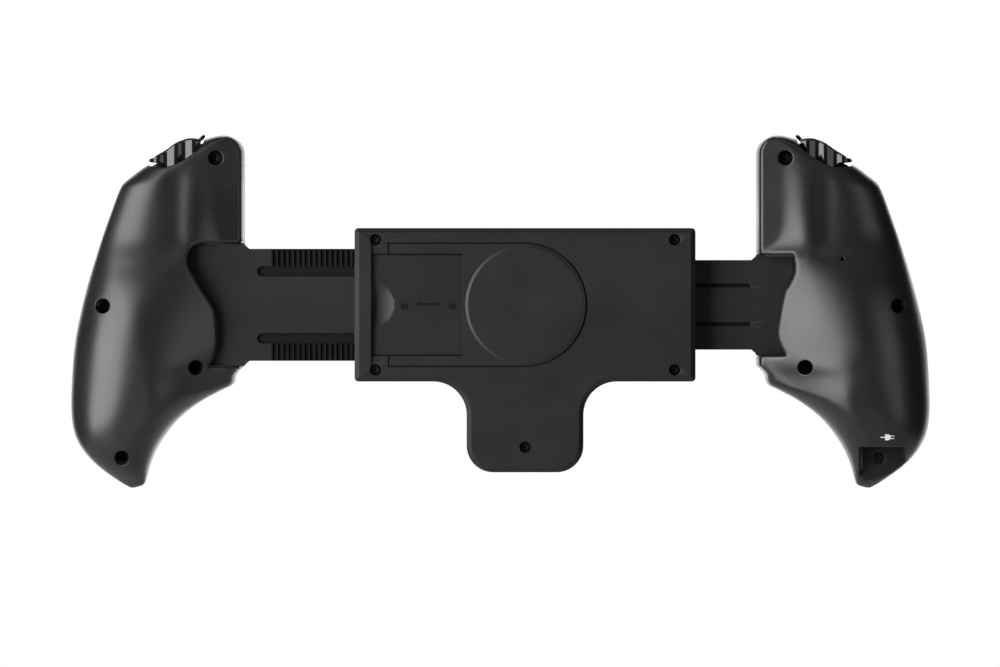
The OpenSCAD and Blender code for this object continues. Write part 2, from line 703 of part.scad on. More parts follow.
module arm_pins(arm_h, r, y0, y1) {
    for (z = [-1, 1]) post([arm_pin_u, z * (arm_h / 2 - 4.5)], r, y0, y1);
}

// Blind grooves in both sides of an arm
module arm_grooves(y0, y1) {
    slab(y0 + 1, y0 - guide_groove) children();
    slab(y1 + back_groove, y1 - 1) children();
}

// Straight part of an arm with its flared end at the grip
module arm_outline(half, reach) {
    polygon([[1, -half - flare], [0, -half - flare], [-flare - 0.3, -half], [-reach, -half],
        [-reach, half], [-flare - 0.3, half], [0, half + flare], [1, half + flare]]);
}

module toothed_arm() {
    grooves = ceil((toothed_end - rack_start) / tooth_pitch);
    half = toothed_h / 2;
    y_tip = y_toothed_back - 0.01;
    y_foot = y_toothed_back + tooth_depth;
    color("#262628") difference() {
        union() {
            at_right() slab(y_toothed, y_toothed_back) arm_outline(half, toothed_end - right_edge);
            at_right() slab(y_toothed, y_toothed_back) root_outline(toothed_root, toothed_h, 0);
        }
        for (z = [-1, 1]) arm_grooves(y_toothed, y_toothed_back)
            pill(slot_start, slot_end, z * slot_z, slot_h);
        both_sides() translate([0, 0, half - rack_w]) linear_extrude(rack_w + 1)
            polygon(concat([[rack_start - groove_top, y_toothed_back - 1]],
                [for (i = [0:grooves]) let (x = rack_start + i * tooth_pitch) each [
                    [x - groove_top / 2, y_tip], [x - groove_foot / 2, y_foot],
                    [x + groove_foot / 2, y_foot], [x + groove_top / 2, y_tip]]],
                [[rack_start + grooves * tooth_pitch + groove_top, y_toothed_back - 1]]));
        at_right() arm_pins(toothed_h, arm_pin_r, 0, y_toothed_back + 0.7);
    }
}

module smooth_arm() {
    half = smooth_h / 2;
    color("#2a2a2c") difference() {
        union() {
            at_left() slab(y_smooth, y_smooth_back) arm_outline(half, left_edge - smooth_end);
            at_left() slab(y_smooth, y_smooth_back) root_outline(smooth_root, smooth_h, 0);
        }
        for (z = [-1, 1]) arm_grooves(y_smooth, y_smooth_back)
            pill(thin_slot_end, thin_slot_start, z * thin_slot_z, thin_slot_h);
        slab(y_smooth + 1, y_smooth_back - 1) translate([smooth_end - 1, -fork_h / 2])
            square([fork_end - smooth_end + 1, fork_h]);
        at_left() arm_pins(smooth_h, arm_pin_r, 0, y_smooth_back + 0.7);
    }
}

// Grips

// Openings in the backs and the fronts of the grips for the shoulder pieces
back_notch = [[12, 53], [12.2, 48.6], [13.4, 46.9], [16, 44.8], [18.8, 43.1], [21, 42], [23.3, 41.4],
    [25.5, 41.3], [27.6, 41.6], [29.4, 42.5], [32, 45], [22, 53]];
front_notch = [[11, 53], [11, 44.5], [12.6, 42.4], [17.6, 39.6], [23.8, 38], [24.8, 40.2], [28, 40.5],
    [30, 41], [33, 44], [33, 53]];

module notch_cut(outline, y0, y1) {
    slab(y0, y1) polygon([for (p = outline) spot(p)]);
}

function side_screws() = [for (p = grip_screws) spot(p)];

// Back shell of a grip, before what differs between left and right
module rear_shell(edge, arm_h, window_front, usb) {
    difference() {
        union() {
            grip_skin(false);
            intersection() {
                grip_core(false);
                union() {
                    for (s = side_screws()) post(s, boss_r, y_part, -40);
                    post(spot(pin_spot), 2.2, trigger_back - 0.3, -40);
                    if (usb) slab(recess_floor + recess_wall, -40)
                        translate([(recess_low_u - recess_wall) * su, grip_low - 1])
                            square([(recess_high_u - recess_low_u + 2 * recess_wall) * su,
                                recess_z * sz + recess_wall - grip_low + 1]);
                }
            }
        }
        slab(window_front, -40) root_outline(edge, arm_h, seat_gap);
        notch_cut(back_notch, 0, -40);
        if (usb) {
            slab(recess_floor, -40) translate([recess_low_u * su, grip_low - 1])
                square([(recess_high_u - recess_low_u) * su, recess_z * sz - grip_low + 1]);
            slab(usb_y + usb_h + seat_gap, usb_y - seat_gap)
                translate([usb_u - usb_w / 2 - seat_gap, recess_z * sz - 1])
                    square([usb_w + 2 * seat_gap, recess_wall + 2]);
            post(spot(reset_spot), 0.6, -8, -40);
        }
        for (i = [0:3]) {
            low = usb && i == 3;
            post(side_screws()[i], screw_r + 0.2, 0, -40);
            post(side_screws()[i], low ? 1.8 : well_r, low ? recess_floor + 1.2 : well_floor, -40);
        }
        post(spot(pin_spot), screw_r + 0.05, 0, trigger_back - 0.8);
    }
}

// Front shell of a grip without its control openings
module front_shell(arm_h, y_root, y_arm_back) {
    difference() {
        union() {
            grip_skin(true);
            intersection() {
                grip_core(true);
                union() {
                    for (s = side_screws()) post(s, boss_r - 0.2, 40, y_part);
                    post(spot(pin_spot), 2.2, 40, shoulder_front + 0.5);
                    for (s = board_posts) post(spot(s), 1.6, 40, 0);
                }
            }
            arm_pins(arm_h, 2.4, y_part + 0.5, y_root);
            arm_pins(arm_h, arm_pin_r - seat_gap, y_part, y_arm_back + 1);
        }
        slab(channel_t, 0) translate([-1, -70]) square([channel_d + 1, 140]);
        notch_cut(front_notch, shoulder_front + 0.6, -20);
        for (s = side_screws()) post(s, screw_r + 0.1, y_part + 8, y_part - 1);
        post(spot(pin_spot), screw_r + 0.05, shoulder_front + 1.6, 0);
        children();
    }
}

board_posts = [[12.5, 33], [40.5, -24], [22, -26.5]];
board_outline = [[10.5, 36.5], [28, 36.5], [36, 18], [37.8, 4], [37.8, -5], [42.5, -12], [43.5, -22],
    [41, -30], [18.5, -30], [18.5, -14], [10.5, -14]];

side_key_w = 6.4;
side_key_h = 3;
function stick_open() = sqrt(pow(dome_r, 2) - pow(y_face_in - pivot_y, 2)) + 0.6;
module stick_opening(s) { post(s, stick_open(), y_face + 1, 0); }
module side_key_outline(grow) {
    pill(-side_key_w / 2 - grow, side_key_w / 2 + grow, 0, side_key_h + 2 * grow);
}
module side_key_opening() {
    slab(y_face + 1, 0) translate(spot(side_key_spot)) side_key_outline(run_gap);
}

// Usb socket place
usb_w = 7.5;
usb_h = 2.8;
usb_len = 5.6;
usb_u = 37.7 * su;
usb_y = -10.1;

module right_grip_rear_shell() {
    color("#232325") at_right() rear_shell(toothed_root, toothed_h, y_toothed + seat_gap, false);
}
module left_grip_rear_shell() {
    color("#232325") at_left() rear_shell(smooth_root, smooth_h, y_smooth + seat_gap, true);
}
module right_grip_front_shell() {
    color("#262628") at_right() front_shell(toothed_h, y_toothed, y_toothed_back) {
        for (s = face_spots) post(s, face_r + run_gap, y_face + 1, 0);
        stick_opening(spot(lower_spot));
        side_key_opening();
    }
}
module left_grip_front_shell() {
    color("#262628") at_left() front_shell(smooth_h, y_smooth, y_smooth_back) {
        stick_opening(spot(upper_spot));
        post(spot(lower_spot), dpad_r + 1.5, y_face + 1, 0);
        side_key_opening();
    }
}

module device_pad() {
    ribs = 14;
    low = -15;
    step = 4.2;
    color("#151516") {
        slab(channel_t - 0.5, 0.5) translate([channel_d - 0.7, low - 1])
            square([0.7, (ribs - 1) * step + 2]);
        for (i = [0:ribs - 1]) slab(channel_t - 0.5, 0.5)
            translate([channel_d - 1, low + i * step - 0.7]) square([0.5, 1.4]);
    }
}
module right_device_pad() { at_right() device_pad(); }
module left_device_pad() { at_left() device_pad(); }

module grip_screw_set(usb) {
    color("#5b5b5e") for (i = [0:3]) {
        s = side_screws()[i];
        seat = usb && i == 3 ? recess_floor + 1.2 : well_floor;
        difference() {
            union() {
                post(s, usb && i == 3 ? 1.5 : 1.9, seat, seat - (usb && i == 3 ? 1 : 1.4));
                post(s, screw_r, y_part + 7.5, seat - 0.3);
            }
            for (a = [0, 90]) slab(seat - 0.5, seat - 3) translate(s) rotate(a)
                square([2, 0.45], center = true);
        }
    }
}
module right_grip_screws() { at_right() grip_screw_set(false); }
module left_grip_screws() { at_left() grip_screw_set(true); }

module circuit_board() {
    color("#1f5c3a") slab(0, -board_t) polygon([for (p = board_outline) spot(p)]);
}
module right_circuit_board() { at_right() circuit_board(); }
module left_circuit_board() { at_left() circuit_board(); }

// Push buttons on the face of a grip
face_spots = [for (a = [90, 0, 270, 180]) spot(upper_spot) + face_step * [cos(a), sin(a)]];
button_travel = 1;
flange_t = 1.7;
flange_back = y_face_in - run_gap - flange_t;
button_top = y_face + 1.6;
mat_plate_t = 0.8;
dome_top = flange_back - button_travel - run_gap;

module face_button(i) {
    s = face_spots[i];
    color("#19191b") at_right() {
        difference() {
            post(s, face_r, button_top, flange_back + flange_t - 0.1);
            translate([s[0], button_top + 17.6, s[1]]) sphere(18, $fn = 96);
        }
        post(s, face_r + 0.7, flange_back + flange_t, flange_back);
    }
}
module face_button_top() { face_button(0); }
module face_button_right() { face_button(1); }
module face_button_bottom() { face_button(2); }
module face_button_left() { face_button(3); }

module side_key() {
    color("#19191b") translate([side_key_spot[0] * su, 0, side_key_spot[1] * sz]) {
        slab(y_face + 0.9, flange_back + flange_t - 0.1) side_key_outline(0);
        slab(flange_back + flange_t, flange_back) side_key_outline(0.7);
    }
}
module start_button() { at_right() side_key(); }
module select_button() { at_left() side_key(); }

module mat_strip(a, b, w) {
    along = b - a;
    slab(mat_plate_t, 0) translate(a) rotate(atan2(along[1], along[0])) translate([0, -w / 2])
        square([norm(along), w]);
}

module right_key_mat() {
    color("#8d8f92") at_right() {
        slab(mat_plate_t, 0) translate(spot(upper_spot)) circle(face_step + 4);
        for (s = face_spots) post(s, face_r - 0.7, dome_top, mat_plate_t - 0.1);
        mat_strip(spot(upper_spot), spot(side_key_spot), 5);
        post(spot(side_key_spot), 1.6, dome_top, 0);
    }
}

module left_key_mat() {
    s = spot(lower_spot);
    pad_ring = base_r + 2.2;
    color("#8d8f92") at_left() {
        slab(mat_plate_t, 0) difference() {
            translate(s) circle(pad_ring + 1.8);
            translate(s) circle(base_r + 0.3);
        }
        for (a = [0:90:270]) post(s + pad_ring * [cos(a), sin(a)], 1.7, pivot_y + 3.7, mat_plate_t - 0.1);
        mat_strip(s + (pad_ring + 0.5) * [cos(138.5), sin(138.5)], spot(side_key_spot), 4);
        post(spot(side_key_spot), 1.6, dome_top, 0);
    }
}

// Two-axis stick: a base with a turning yoke, and the stick turning in the yoke
yoke_half = 5;
yoke_hole = 3.5;
trunnion_r = 0.7;
trunnion_gap = 0.1;

module stick_base(s) {
    color("#3c3c40") translate([s[0], 0, s[1]]) difference() {
        slab(base_top, 0) intersection() {
            square(2 * (yoke_half + 2), center = true);
            circle(base_r);
        }
        slab(base_top + 1, 0.7) square(2 * (yoke_half + 0.6), center = true);
        translate([0, pivot_y, 0]) rotate([0, 90, 0])
            cylinder(r = trunnion_r + trunnion_gap, h = 40, center = true);
    }
}

module stick_yoke(s) {
    color("#b5b7ba") translate([s[0], 0, s[1]]) difference() {
        union() {
            slab(pivot_y + 0.9, pivot_y - 0.9) square(2 * yoke_half, center = true);
            translate([0, pivot_y, 0]) rotate([0, 90, 0])
                cylinder(r = trunnion_r, h = 2 * (yoke_half + 1.6), center = true);
        }
        slab(20, -20) square(2 * yoke_hole, center = true);
        translate([0, pivot_y, 0]) cylinder(r = trunnion_r + trunnion_gap, h = 40, center = true);
    }
}

// Shaft that turns in the yoke, up to a given top
module stick_shaft(top) {
    post([0, 0], 1.6, top, pivot_y - 1.6);
    translate([0, pivot_y, 0]) cylinder(r = trunnion_r, h = 2 * (yoke_half - 0.4), center = true);
}

module stick(s) {
    color("#202022") translate([s[0], 0, s[1]]) {
        stick_shaft(pivot_y + dome_r + 1);
        translate([0, pivot_y, 0]) rotate([-90, 0, 0]) rotate_extrude() intersection() {
            difference() {
                circle(dome_r, $fn = 96);
                circle(dome_r - dome_t, $fn = 96);
            }
            polygon(2 * dome_r * [[0, 0], [0, 1], [1, 1], [1, 1 / tan(75)]]);
        }
    }
}

cap_foot = pivot_y + 12;
module stick_cap(s) {
    color("#161617") translate([s[0], 0, s[1]]) rotate([-90, 0, 0]) rotate_extrude()
        polygon([[0, pivot_y + dome_r + 1], [2.9, pivot_y + dome_r + 1], [3.4, cap_foot],
            [cap_r - 1, cap_foot], [cap_r, cap_foot + 1], [cap_r, cap_foot + 2.4],
            [cap_r - 0.7, cap_foot + 3.2], [cap_r - 2.2, cap_foot + 3.2], [cap_r - 3.4, cap_foot + 2.5],
            [0, cap_foot + 2.2]]);
}

module right_stick_base() { at_right() stick_base(spot(lower_spot)); }
module right_stick_yoke() { at_right() stick_yoke(spot(lower_spot)); }
module right_stick() { at_right() stick(spot(lower_spot)); }
module right_stick_cap() { at_right() stick_cap(spot(lower_spot)); }
module left_stick_base() { at_left() stick_base(spot(upper_spot)); }
module left_stick_yoke() { at_left() stick_yoke(spot(upper_spot)); }
module left_stick() { at_left() stick(spot(upper_spot)); }
module left_stick_cap() { at_left() stick_cap(spot(upper_spot)); }
module dpad_base() { at_left() stick_base(spot(lower_spot)); }
module dpad_pivot() { at_left() stick_yoke(spot(lower_spot)); }

module dpad() {
    s = spot(lower_spot);
    disc_back = y_face_in - 0.2;
    disc_top = y_face + 0.9;
    arm_w = 7.6;
    color("#19191b") at_left() translate([s[0], 0, s[1]]) {
        stick_shaft(disc_back + 0.5);
        difference() {
            slab(disc_top, disc_back) circle(dpad_r);
            slab(disc_top + 1, disc_top - 0.6) difference() {
                circle(dpad_r - 1);
                square([2 * dpad_r, arm_w], center = true);
                square([arm_w, 2 * dpad_r], center = true);
            }
        }
        slab(disc_top + 1.3, disc_top - 0.2) difference() {
            intersection() {
                circle(dpad_r - 0.6);
                union() {
                    square([2 * dpad_r, arm_w], center = true);
                    square([arm_w, 2 * dpad_r], center = true);
                }
            }
            circle(2.4);
        }
    }
}

// Shoulder button and trigger turn on one pin at the inner end of the grip's top
button_outline = [[12.9, 49.1], [11.7, 50.2], [11.5, 51], [12.6, 51.1], [13.8, 49.7], [16.8, 49.2],
    [20.7, 47.6], [23.4, 45.8], [26.2, 44.2], [28.4, 44], [28.7, 42.9], [24.4, 42.4], [23.6, 39.4],
    [18, 40.6], [12.9, 43.4]];
trigger_outline = [[12.9, 49.6], [14.5, 50], [16.8, 50], [18.8, 49.4], [20.7, 48.5], [23.4, 46.6],
    [26.6, 44.6], [27, 42.9], [24.2, 42.5], [23.6, 39.4], [18, 40.6], [12.9, 43.4]];

module shoulder_piece(outline, y0, y1) {
    difference() {
        slab(y0, y1) polygon([for (p = outline) spot(p)]);
        post(spot(pin_spot), screw_r + 0.15, y0 + 1, y1 - 1);
    }
}
module shoulder_button() {
    color("#121213") shoulder_piece(button_outline, shoulder_front, shoulder_split + 0.2);
}
module trigger() {
    color("#121213") shoulder_piece(trigger_outline, shoulder_split - 0.2, trigger_back);
}
module shoulder_pin() {
    color("#a9abae") post(spot(pin_spot), screw_r, shoulder_front + 1.4, trigger_back - 0.6);
}
module right_shoulder_button() { at_right() shoulder_button(); }
module right_trigger() { at_right() trigger(); }
module right_shoulder_pin() { at_right() shoulder_pin(); }
module left_shoulder_button() { at_left() shoulder_button(); }
module left_trigger() { at_left() trigger(); }
module left_shoulder_pin() { at_left() shoulder_pin(); }

module battery() {
    color("#9aa0a6") at_left() slab(-board_t, -board_t - 7.6)
        translate([28.2 * su, -13 * sz]) round_rect(19, 32, 1.5);
}

module usb_socket() {
    color("#c3c6ca") at_left() difference() {
        slab(usb_y + usb_h, usb_y) translate([usb_u - usb_w / 2, recess_z * sz + 0.2])
            square([usb_w, usb_len]);
        slab(usb_y + usb_h - 0.4, usb_y + 0.4) translate([usb_u - usb_w / 2 + 0.4, recess_z * sz - 1])
            square([usb_w - 0.8, usb_len - 1]);
    }
}

module usb_board() {
    color("#1f5c3a") at_left() slab(usb_y + usb_h + 1.2, usb_y + usb_h)
        translate([usb_u - 6, recess_z * sz + recess_wall + seat_gap]) square([12, 8]);
}

block_rear_cover();
block_front_plate();
device_rest_pad();
lock_plate();
block_screws();
tab_circuit_board();
tab_key_mat();
clamp_spring();
lock_slider();
lock_pawl();
home_button();
previous_key();
play_key();
next_key();
volume_down_key();
volume_up_key();
toothed_arm();
right_grip_rear_shell();
right_grip_front_shell();
right_device_pad();
right_grip_screws();
right_circuit_board();
right_key_mat();
right_stick_base();
right_shoulder_pin();
right_stick_yoke();
right_stick();
right_stick_cap();
face_button_top();
face_button_right();
face_button_bottom();
face_button_left();
start_button();
right_shoulder_button();
right_trigger();
smooth_arm();
left_grip_rear_shell();
left_grip_front_shell();
left_device_pad();
left_grip_screws();
left_circuit_board();
left_key_mat();
left_stick_base();
dpad_base();
battery();
usb_socket();
usb_board();
left_shoulder_pin();
left_stick_yoke();
left_stick();
left_stick_cap();
dpad_pivot();
dpad();
select_button();
left_shoulder_button();
left_trigger();
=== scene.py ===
"""Looks of a telescopic game controller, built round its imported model."""

import math

import bmesh
import bpy
import numpy as np
from bpy.props import FloatProperty, FloatVectorProperty, IntProperty, PointerProperty
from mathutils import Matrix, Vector
from mathutils.geometry import delaunay_2d_cdt


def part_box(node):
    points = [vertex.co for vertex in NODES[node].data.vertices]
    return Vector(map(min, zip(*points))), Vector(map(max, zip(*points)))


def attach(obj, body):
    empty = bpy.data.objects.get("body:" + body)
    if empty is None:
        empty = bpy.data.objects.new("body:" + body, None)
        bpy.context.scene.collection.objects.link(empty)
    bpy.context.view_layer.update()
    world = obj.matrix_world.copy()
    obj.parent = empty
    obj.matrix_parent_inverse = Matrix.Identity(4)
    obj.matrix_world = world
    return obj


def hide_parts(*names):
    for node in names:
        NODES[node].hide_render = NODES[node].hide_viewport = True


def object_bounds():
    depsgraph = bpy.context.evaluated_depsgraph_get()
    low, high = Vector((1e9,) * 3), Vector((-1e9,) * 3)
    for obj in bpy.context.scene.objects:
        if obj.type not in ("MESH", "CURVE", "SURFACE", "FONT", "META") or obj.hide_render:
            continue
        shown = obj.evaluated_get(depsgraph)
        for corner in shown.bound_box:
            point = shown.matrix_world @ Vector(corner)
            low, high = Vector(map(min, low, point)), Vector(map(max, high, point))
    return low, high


bl_info = {
    "name": "Telescopic game controller",
    "version": (1, 0, 0),
    "blender": (4, 5, 0),
    "location": "View3D > Sidebar > Controller",
    "description": "Builds the looks of a telescopic game controller round its packed model",
    "category": "Object",
}

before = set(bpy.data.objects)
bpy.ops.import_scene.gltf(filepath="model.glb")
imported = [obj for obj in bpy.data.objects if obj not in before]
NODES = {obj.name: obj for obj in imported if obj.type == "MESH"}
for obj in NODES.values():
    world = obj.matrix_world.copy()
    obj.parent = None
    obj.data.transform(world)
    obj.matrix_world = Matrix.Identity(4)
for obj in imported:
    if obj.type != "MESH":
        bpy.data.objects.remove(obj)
CAD_BOX = [list(corner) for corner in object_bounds()]
MM = 0.001
RIGHT_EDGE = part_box("right_grip_rear_shell")[1].x / MM
LEFT_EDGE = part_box("left_grip_rear_shell")[0].x / MM

# Grip form in millimetres, as in the part's source: u outwards from the inner edge, z up
INNER_EDGE = [(-54.9, 32.9), (-54.2, 30.4), (-52.2, 29.3), (-48.6, 28.3), (-45, 26.9), (-40.6, 24.5),
              (-35.7, 20.9), (-31.9, 16.9), (-28.3, 11.7), (-25.6, 6.6), (-24.2, 3.8), (-23, 2.9),
              (-21.3, 2.6), (-19.4, 1.4), (-18.4, 0.1), (-17, 0), (10, 0), (45.5, 0)]
OUTER_EDGE = [(-54.9, 33.9), (-54, 35.8), (-50.6, 41), (-47.4, 45), (-43.8, 48.2), (-39.4, 50.6),
              (-34.9, 51.6), (-29.3, 51.9), (-21.3, 51.6), (-11.6, 50.8), (-3.2, 49.2), (6.8, 46.7),
              (20.3, 42.5), (27.9, 39.8), (33.6, 37.7), (36.3, 36.3), (38.6, 33.6), (41.9, 29),
              (45.5, 20.9), (49.9, 11), (50.5, 9.1), (50.9, 7.1)]
CREST = [(-54.9, 5), (-50, 10), (-42, 14.5), (-30, 18), (-15, 19.5), (-4, 18.6), (5, 16.6), (13, 13.6),
         (20, 11), (28, 10), (38, 9.4), (45, 8.6), (50.9, 7.4)]
RISE_START = [(-54.9, 20), (-45, 16), (-36, 12), (-28, 9), (-22, 5), (-18, 1), (-12, -4), (0, -8), (8, -8),
              (13.5, -6), (17, 2), (21, 6), (28, 7), (50.9, 7)]
RISE_LEN = [(-54.9, 10), (-45, 14), (-36, 18), (-28, 20), (-22, 25), (-18, 29), (-12, 37), (0, 40), (8, 36),
            (13.5, 27), (17, 17), (21, 12), (28, 11), (50.9, 10)]
INNER_ROUND = [(-54.9, 5), (-45, 9), (-30, 10), (-25, 6), (-20, 2), (-17, 1.6), (50.9, 1.6)]
OUTER_ROUND = [(-54.9, 9), (-45, 13), (-37, 15), (-28, 19), (-10, 21), (5, 20), (15, 18), (25, 15.5),
               (40, 12), (50.9, 5)]
FACE_LEVEL = [(-54.9, 5), (-48, 9), (-38, 12), (-28, 13), (0, 13), (50.9, 13)]
GRIP_LOW, GRIP_TOP, TOP_ARC, TOP_ARC_W, TOP_ARC_H = -54.9, 50.9, 45.5, 6.1, 5.4
BACK_ENDS, FACE_ENDS, FACE_INNER_ROUND, FACE_OUTER_ROUND = (7, 1.6), (8, 3), 1.2, 6
HOLLOW_U, HOLLOW_W, HOLLOW_START, HOLLOW_END = 20, 3.6, (13, 19), (44, 36)
Y_PART, WING_D, WING_SLOPE, HOLLOW_D, GRIP_WALL = -2.0, 7.0, 0.115, 0.6, 1.6
CHANNEL_D, CHANNEL_T, CHANNEL_FOOT, CHANNEL_WALL = 6.0, 8.5, -25.2, 0.9
SEAM, SEAM_LIP = 0.1, 0.5

# Fits, depths of linings below the skin, and the rows of points across the rolled edge of an opening
FIT, SKIN_D, UNDER, CUT_MARGIN = 0.05, 0.8, 0.3, 0.3
ROLL_SHARES = (0, 0.06, 0.2, 0.42, 0.7, 1)

# Places on a grip
GRIP_SCREWS = [(8.4, 44.1), (42.2, -0.3), (14.2, -18.8), (36.4, -45.9)]
UPPER_SPOT, LOWER_SPOT = (22.6, 20.0), (29.0, -12.0)
SIDE_KEY, RESET_SPOT = (13.2, 2.0), (25.4, 13.7)
SIDE_KEY_HALF, SIDE_KEY_R, RESET_R = 3.5, 1.8, 0.6
STICK_HOLE_R, PAD_HOLE_R, BUTTON_HOLE_R, BUTTON_RING_R = 8.99, 13.1, 4.4, 8.6
LARGE_ROLL, BUTTON_ROLL, SIDE_KEY_ROLL, PIN_ROLL = 0.8, 0.4, 0.3, 0.2
TOOTHED_ROOT = [(11.4, 18.3), (14, 17.9), (15.6, 16.4), (16.4, 13.7), (16, 11), (14.6, 8.8), (13, 6.1),
                (11, 3), (9.5, 0.7), (8.2, -1.6), (7.5, -7), (7.4, -11.6), (8.3, -14.9), (10, -18.3)]
SMOOTH_ROOT = [(10.4, 15), (10.8, 12), (10.7, 9.5), (9.1, 6.1), (7.8, 4), (6.2, -3.7), (5.6, -8.8),
               (6.8, -12.8), (8, -15)]
BACK_NOTCH = [(12, 53), (12.2, 48.6), (13.4, 46.9), (16, 44.8), (18.8, 43.1), (21, 42), (23.3, 41.4),
              (25.5, 41.3), (27.6, 41.6), (29.4, 42.5), (32, 45), (22, 53)]
FRONT_NOTCH = [(11, 53), (11, 44.5), (12.6, 42.4), (17.6, 39.6), (23.8, 38), (24.8, 40.2), (28, 40.5),
               (30, 41), (33, 44), (33, 53)]
SHOULDER = [(12.9, 49.1), (12.2, 49.7), (11.7, 50.2), (11.55, 50.7), (11.8, 51.05), (12.3, 51.1),
            (12.8, 50.8), (13.3, 50.2), (13.9, 49.75), (15.2, 49.5), (16.8, 49.2), (18.8, 48.5),
            (20.7, 47.6), (22, 46.75), (23.4, 45.8), (25, 44.85), (26.2, 44.25), (27.4, 44.15),
            (28.2, 43.95), (28.6, 43.5), (28.6, 43.15), (28.2, 42.85), (26.5, 42.65), (24.4, 42.4),
            (23.6, 39.5), (18, 40.7), (13, 43.4)]
TRIGGER_TOP = [(12.9, 49.6), (14.5, 50), (16.8, 50), (18.8, 49.4), (20.7, 48.5), (23.4, 46.6), (26.6, 44.6),
               (27, 44)]
TRIGGER_FOOT = [(12.9, 43.4), (18, 40.6), (22.6, 39.6), (24, 42.4), (27, 42.9)]
SHOULDER_FRONT, TRIGGER_FRONT, TRIGGER_BACK = 6.8, -1.2, -5.8
SHOULDER_GAP, SHOULDER_ROUND, TRIGGER_ROUND, TRIGGER_CHAMFER = 0.4, 0.4, 0.9, 0.4
FLUTE_D, FLUTE_PITCH, FLUTE_START = 0.75, 5.4, 15.2
NOTCH_FRONT = SHOULDER_FRONT + 0.6
RECESS = [(30.5, -60), (30.5, -42.6), (44.4, -42.6), (44.4, -60)]
RECESS_FLOOR, RECESS_WALL, RECESS_SCREW_R, SOCKET_BACK, SOCKET_SPAN = -6.5, 1.0, 1.8, -10.5, (33.7, 41.7)
RECESS_WELL_FLOOR = RECESS_FLOOR + 1.2
WELL_FLOOR, WELL_FLOOR_T, WELL_R, WELL_WALL, WELL_ROLL = -5.5, 0.8, 2.2, 0.7, 0.25
WELL_FIT, SCREW_HOLE_R = 0.03, 1.15

# Arms in the part's frame, by the grip that holds them
ARMS = {
    "right": {"node": "toothed_arm", "root": TOOTHED_ROOT, "height": 33.6, "skirt": -6.2,
              "slot_ends": (-80.4, 8.3), "slot_z": 10.05, "slot_h": 3.1, "slot_floor": -7.5},
    "left": {"node": "smooth_arm", "root": SMOOTH_ROOT, "height": 26.9, "skirt": -3.6,
             "slot_ends": (-7.2, 67.8), "slot_z": 5.8, "slot_h": 1.2, "slot_floor": -4.6},
}
# Margins of the arms' root windows, and how far the dark sheets of painted shade on the slot floors sink and
# rise
ROOT_MARGIN, ROOT_GAP, GROOVE_SINK, GROOVE_RISE = 1.5, 0.2, 0.02, 0.03
RACK_START, RACK_INNER = -76.2, 11.6

# Signs: on the slider in the part's frame, and beside the socket on the left grip
SLIDER_BACK, SIGN_RISE, CHARGE_SINK, CHARGE_RISE = -13.8, 0.03, 0.1, 0.04
OPEN_LOCK, CLOSED_LOCK, LOCK_ARROW = (-36.1, 0.0), (-21.8, 0.0), (-28.9, 0.2)
CHARGE_SPOT = (39.0, -39.7)
CHARGE_SIGN = [[(-2.2, -0.15), (-0.8, -0.15), (-0.8, 0.15), (-2.2, 0.15)],
               [(-0.9, -0.9), (0.1, -0.9), (0.8, -0.5), (0.8, 0.5), (0.1, 0.9), (-0.9, 0.9)],
               [(0.7, 0.25), (1.9, 0.25), (1.9, 0.5), (0.7, 0.5)],
               [(0.7, -0.5), (1.9, -0.5), (1.9, -0.25), (0.7, -0.25)]]

# Studio in metres: each lamp with its size and place, the camera's offset, and the floor
LAMPS = {"key": ((1.3, 2.0), (-1.04, -0.8, -0.05)), "top": ((1.2, 0.35), (0.0, -0.4, 1.1)),
         "fill": ((0.7, 1.0), (0.96, -0.9, 0.1)), "far": ((2.0, 1.4), (0.1, 1.5, 0.12))}
CAMERA_OFFSET, SENSOR_WIDTH = (-0.0075, -0.01, -0.0086), 36
FLOOR_SIDES, FLOOR_FADE, FLOOR_SHOWN, FLOOR_MIRRORED = 96, (0.45, 0.97), 0.65, 0.2
BACKDROP_EDGE = (0.97, 0.995)


def curve(points, x):
    """Smooth curve through points sorted by their first value."""
    px, py = np.array(points, float).T
    slope = np.gradient(py)
    slope[1:-1] = (py[2:] - py[:-2]) / (px[2:] - px[:-2])
    slope[0] = (py[1] - py[0]) / (px[1] - px[0])
    slope[-1] = (py[-1] - py[-2]) / (px[-1] - px[-2])
    i = np.clip(np.searchsorted(px, x, side="left") - 1, 0, len(px) - 2)
    h = px[i + 1] - px[i]
    t = np.clip((x - px[i]) / h, 0, 1)
    a, b, m, n = py[i], py[i + 1], slope[i] * h, slope[i + 1] * h
    return a + t * m + t**2 * (3 * (b - a) - 2 * m - n) + t**3 * (2 * (a - b) + m + n)


def ease(a, b, x):
    """Smooth step from 0 at a to 1 at b."""
    t = np.clip((x - a) / (b - a), 0, 1)
    return t * t * (3 - 2 * t)


def rounding(d, r, power=2.2):
    """Height of a rounded edge at a distance d from it, from 0 to 1."""
    t = np.clip(d / r, 0, 1)
    return (1 - (1 - t) ** power) ** (1 / power)


def edge_in(z):
    """Inner edge of a grip's plan, with its round top corner."""
    arc = TOP_ARC_W * (1 - np.sqrt(np.clip(1 - ((z - TOP_ARC) / TOP_ARC_H) ** 2, 0, 1)))
    return np.where(z > TOP_ARC, arc, curve(INNER_EDGE, z))


def edge_out(z):
    """Outer edge of a grip's plan."""
    return curve(OUTER_EDGE, z)


def end_rounding(z, low_r, top_r):
    """Rounds at the foot and the top of a grip, from 0 to 1."""
    return rounding(GRIP_TOP - z, top_r) * rounding(z - GRIP_LOW, low_r)


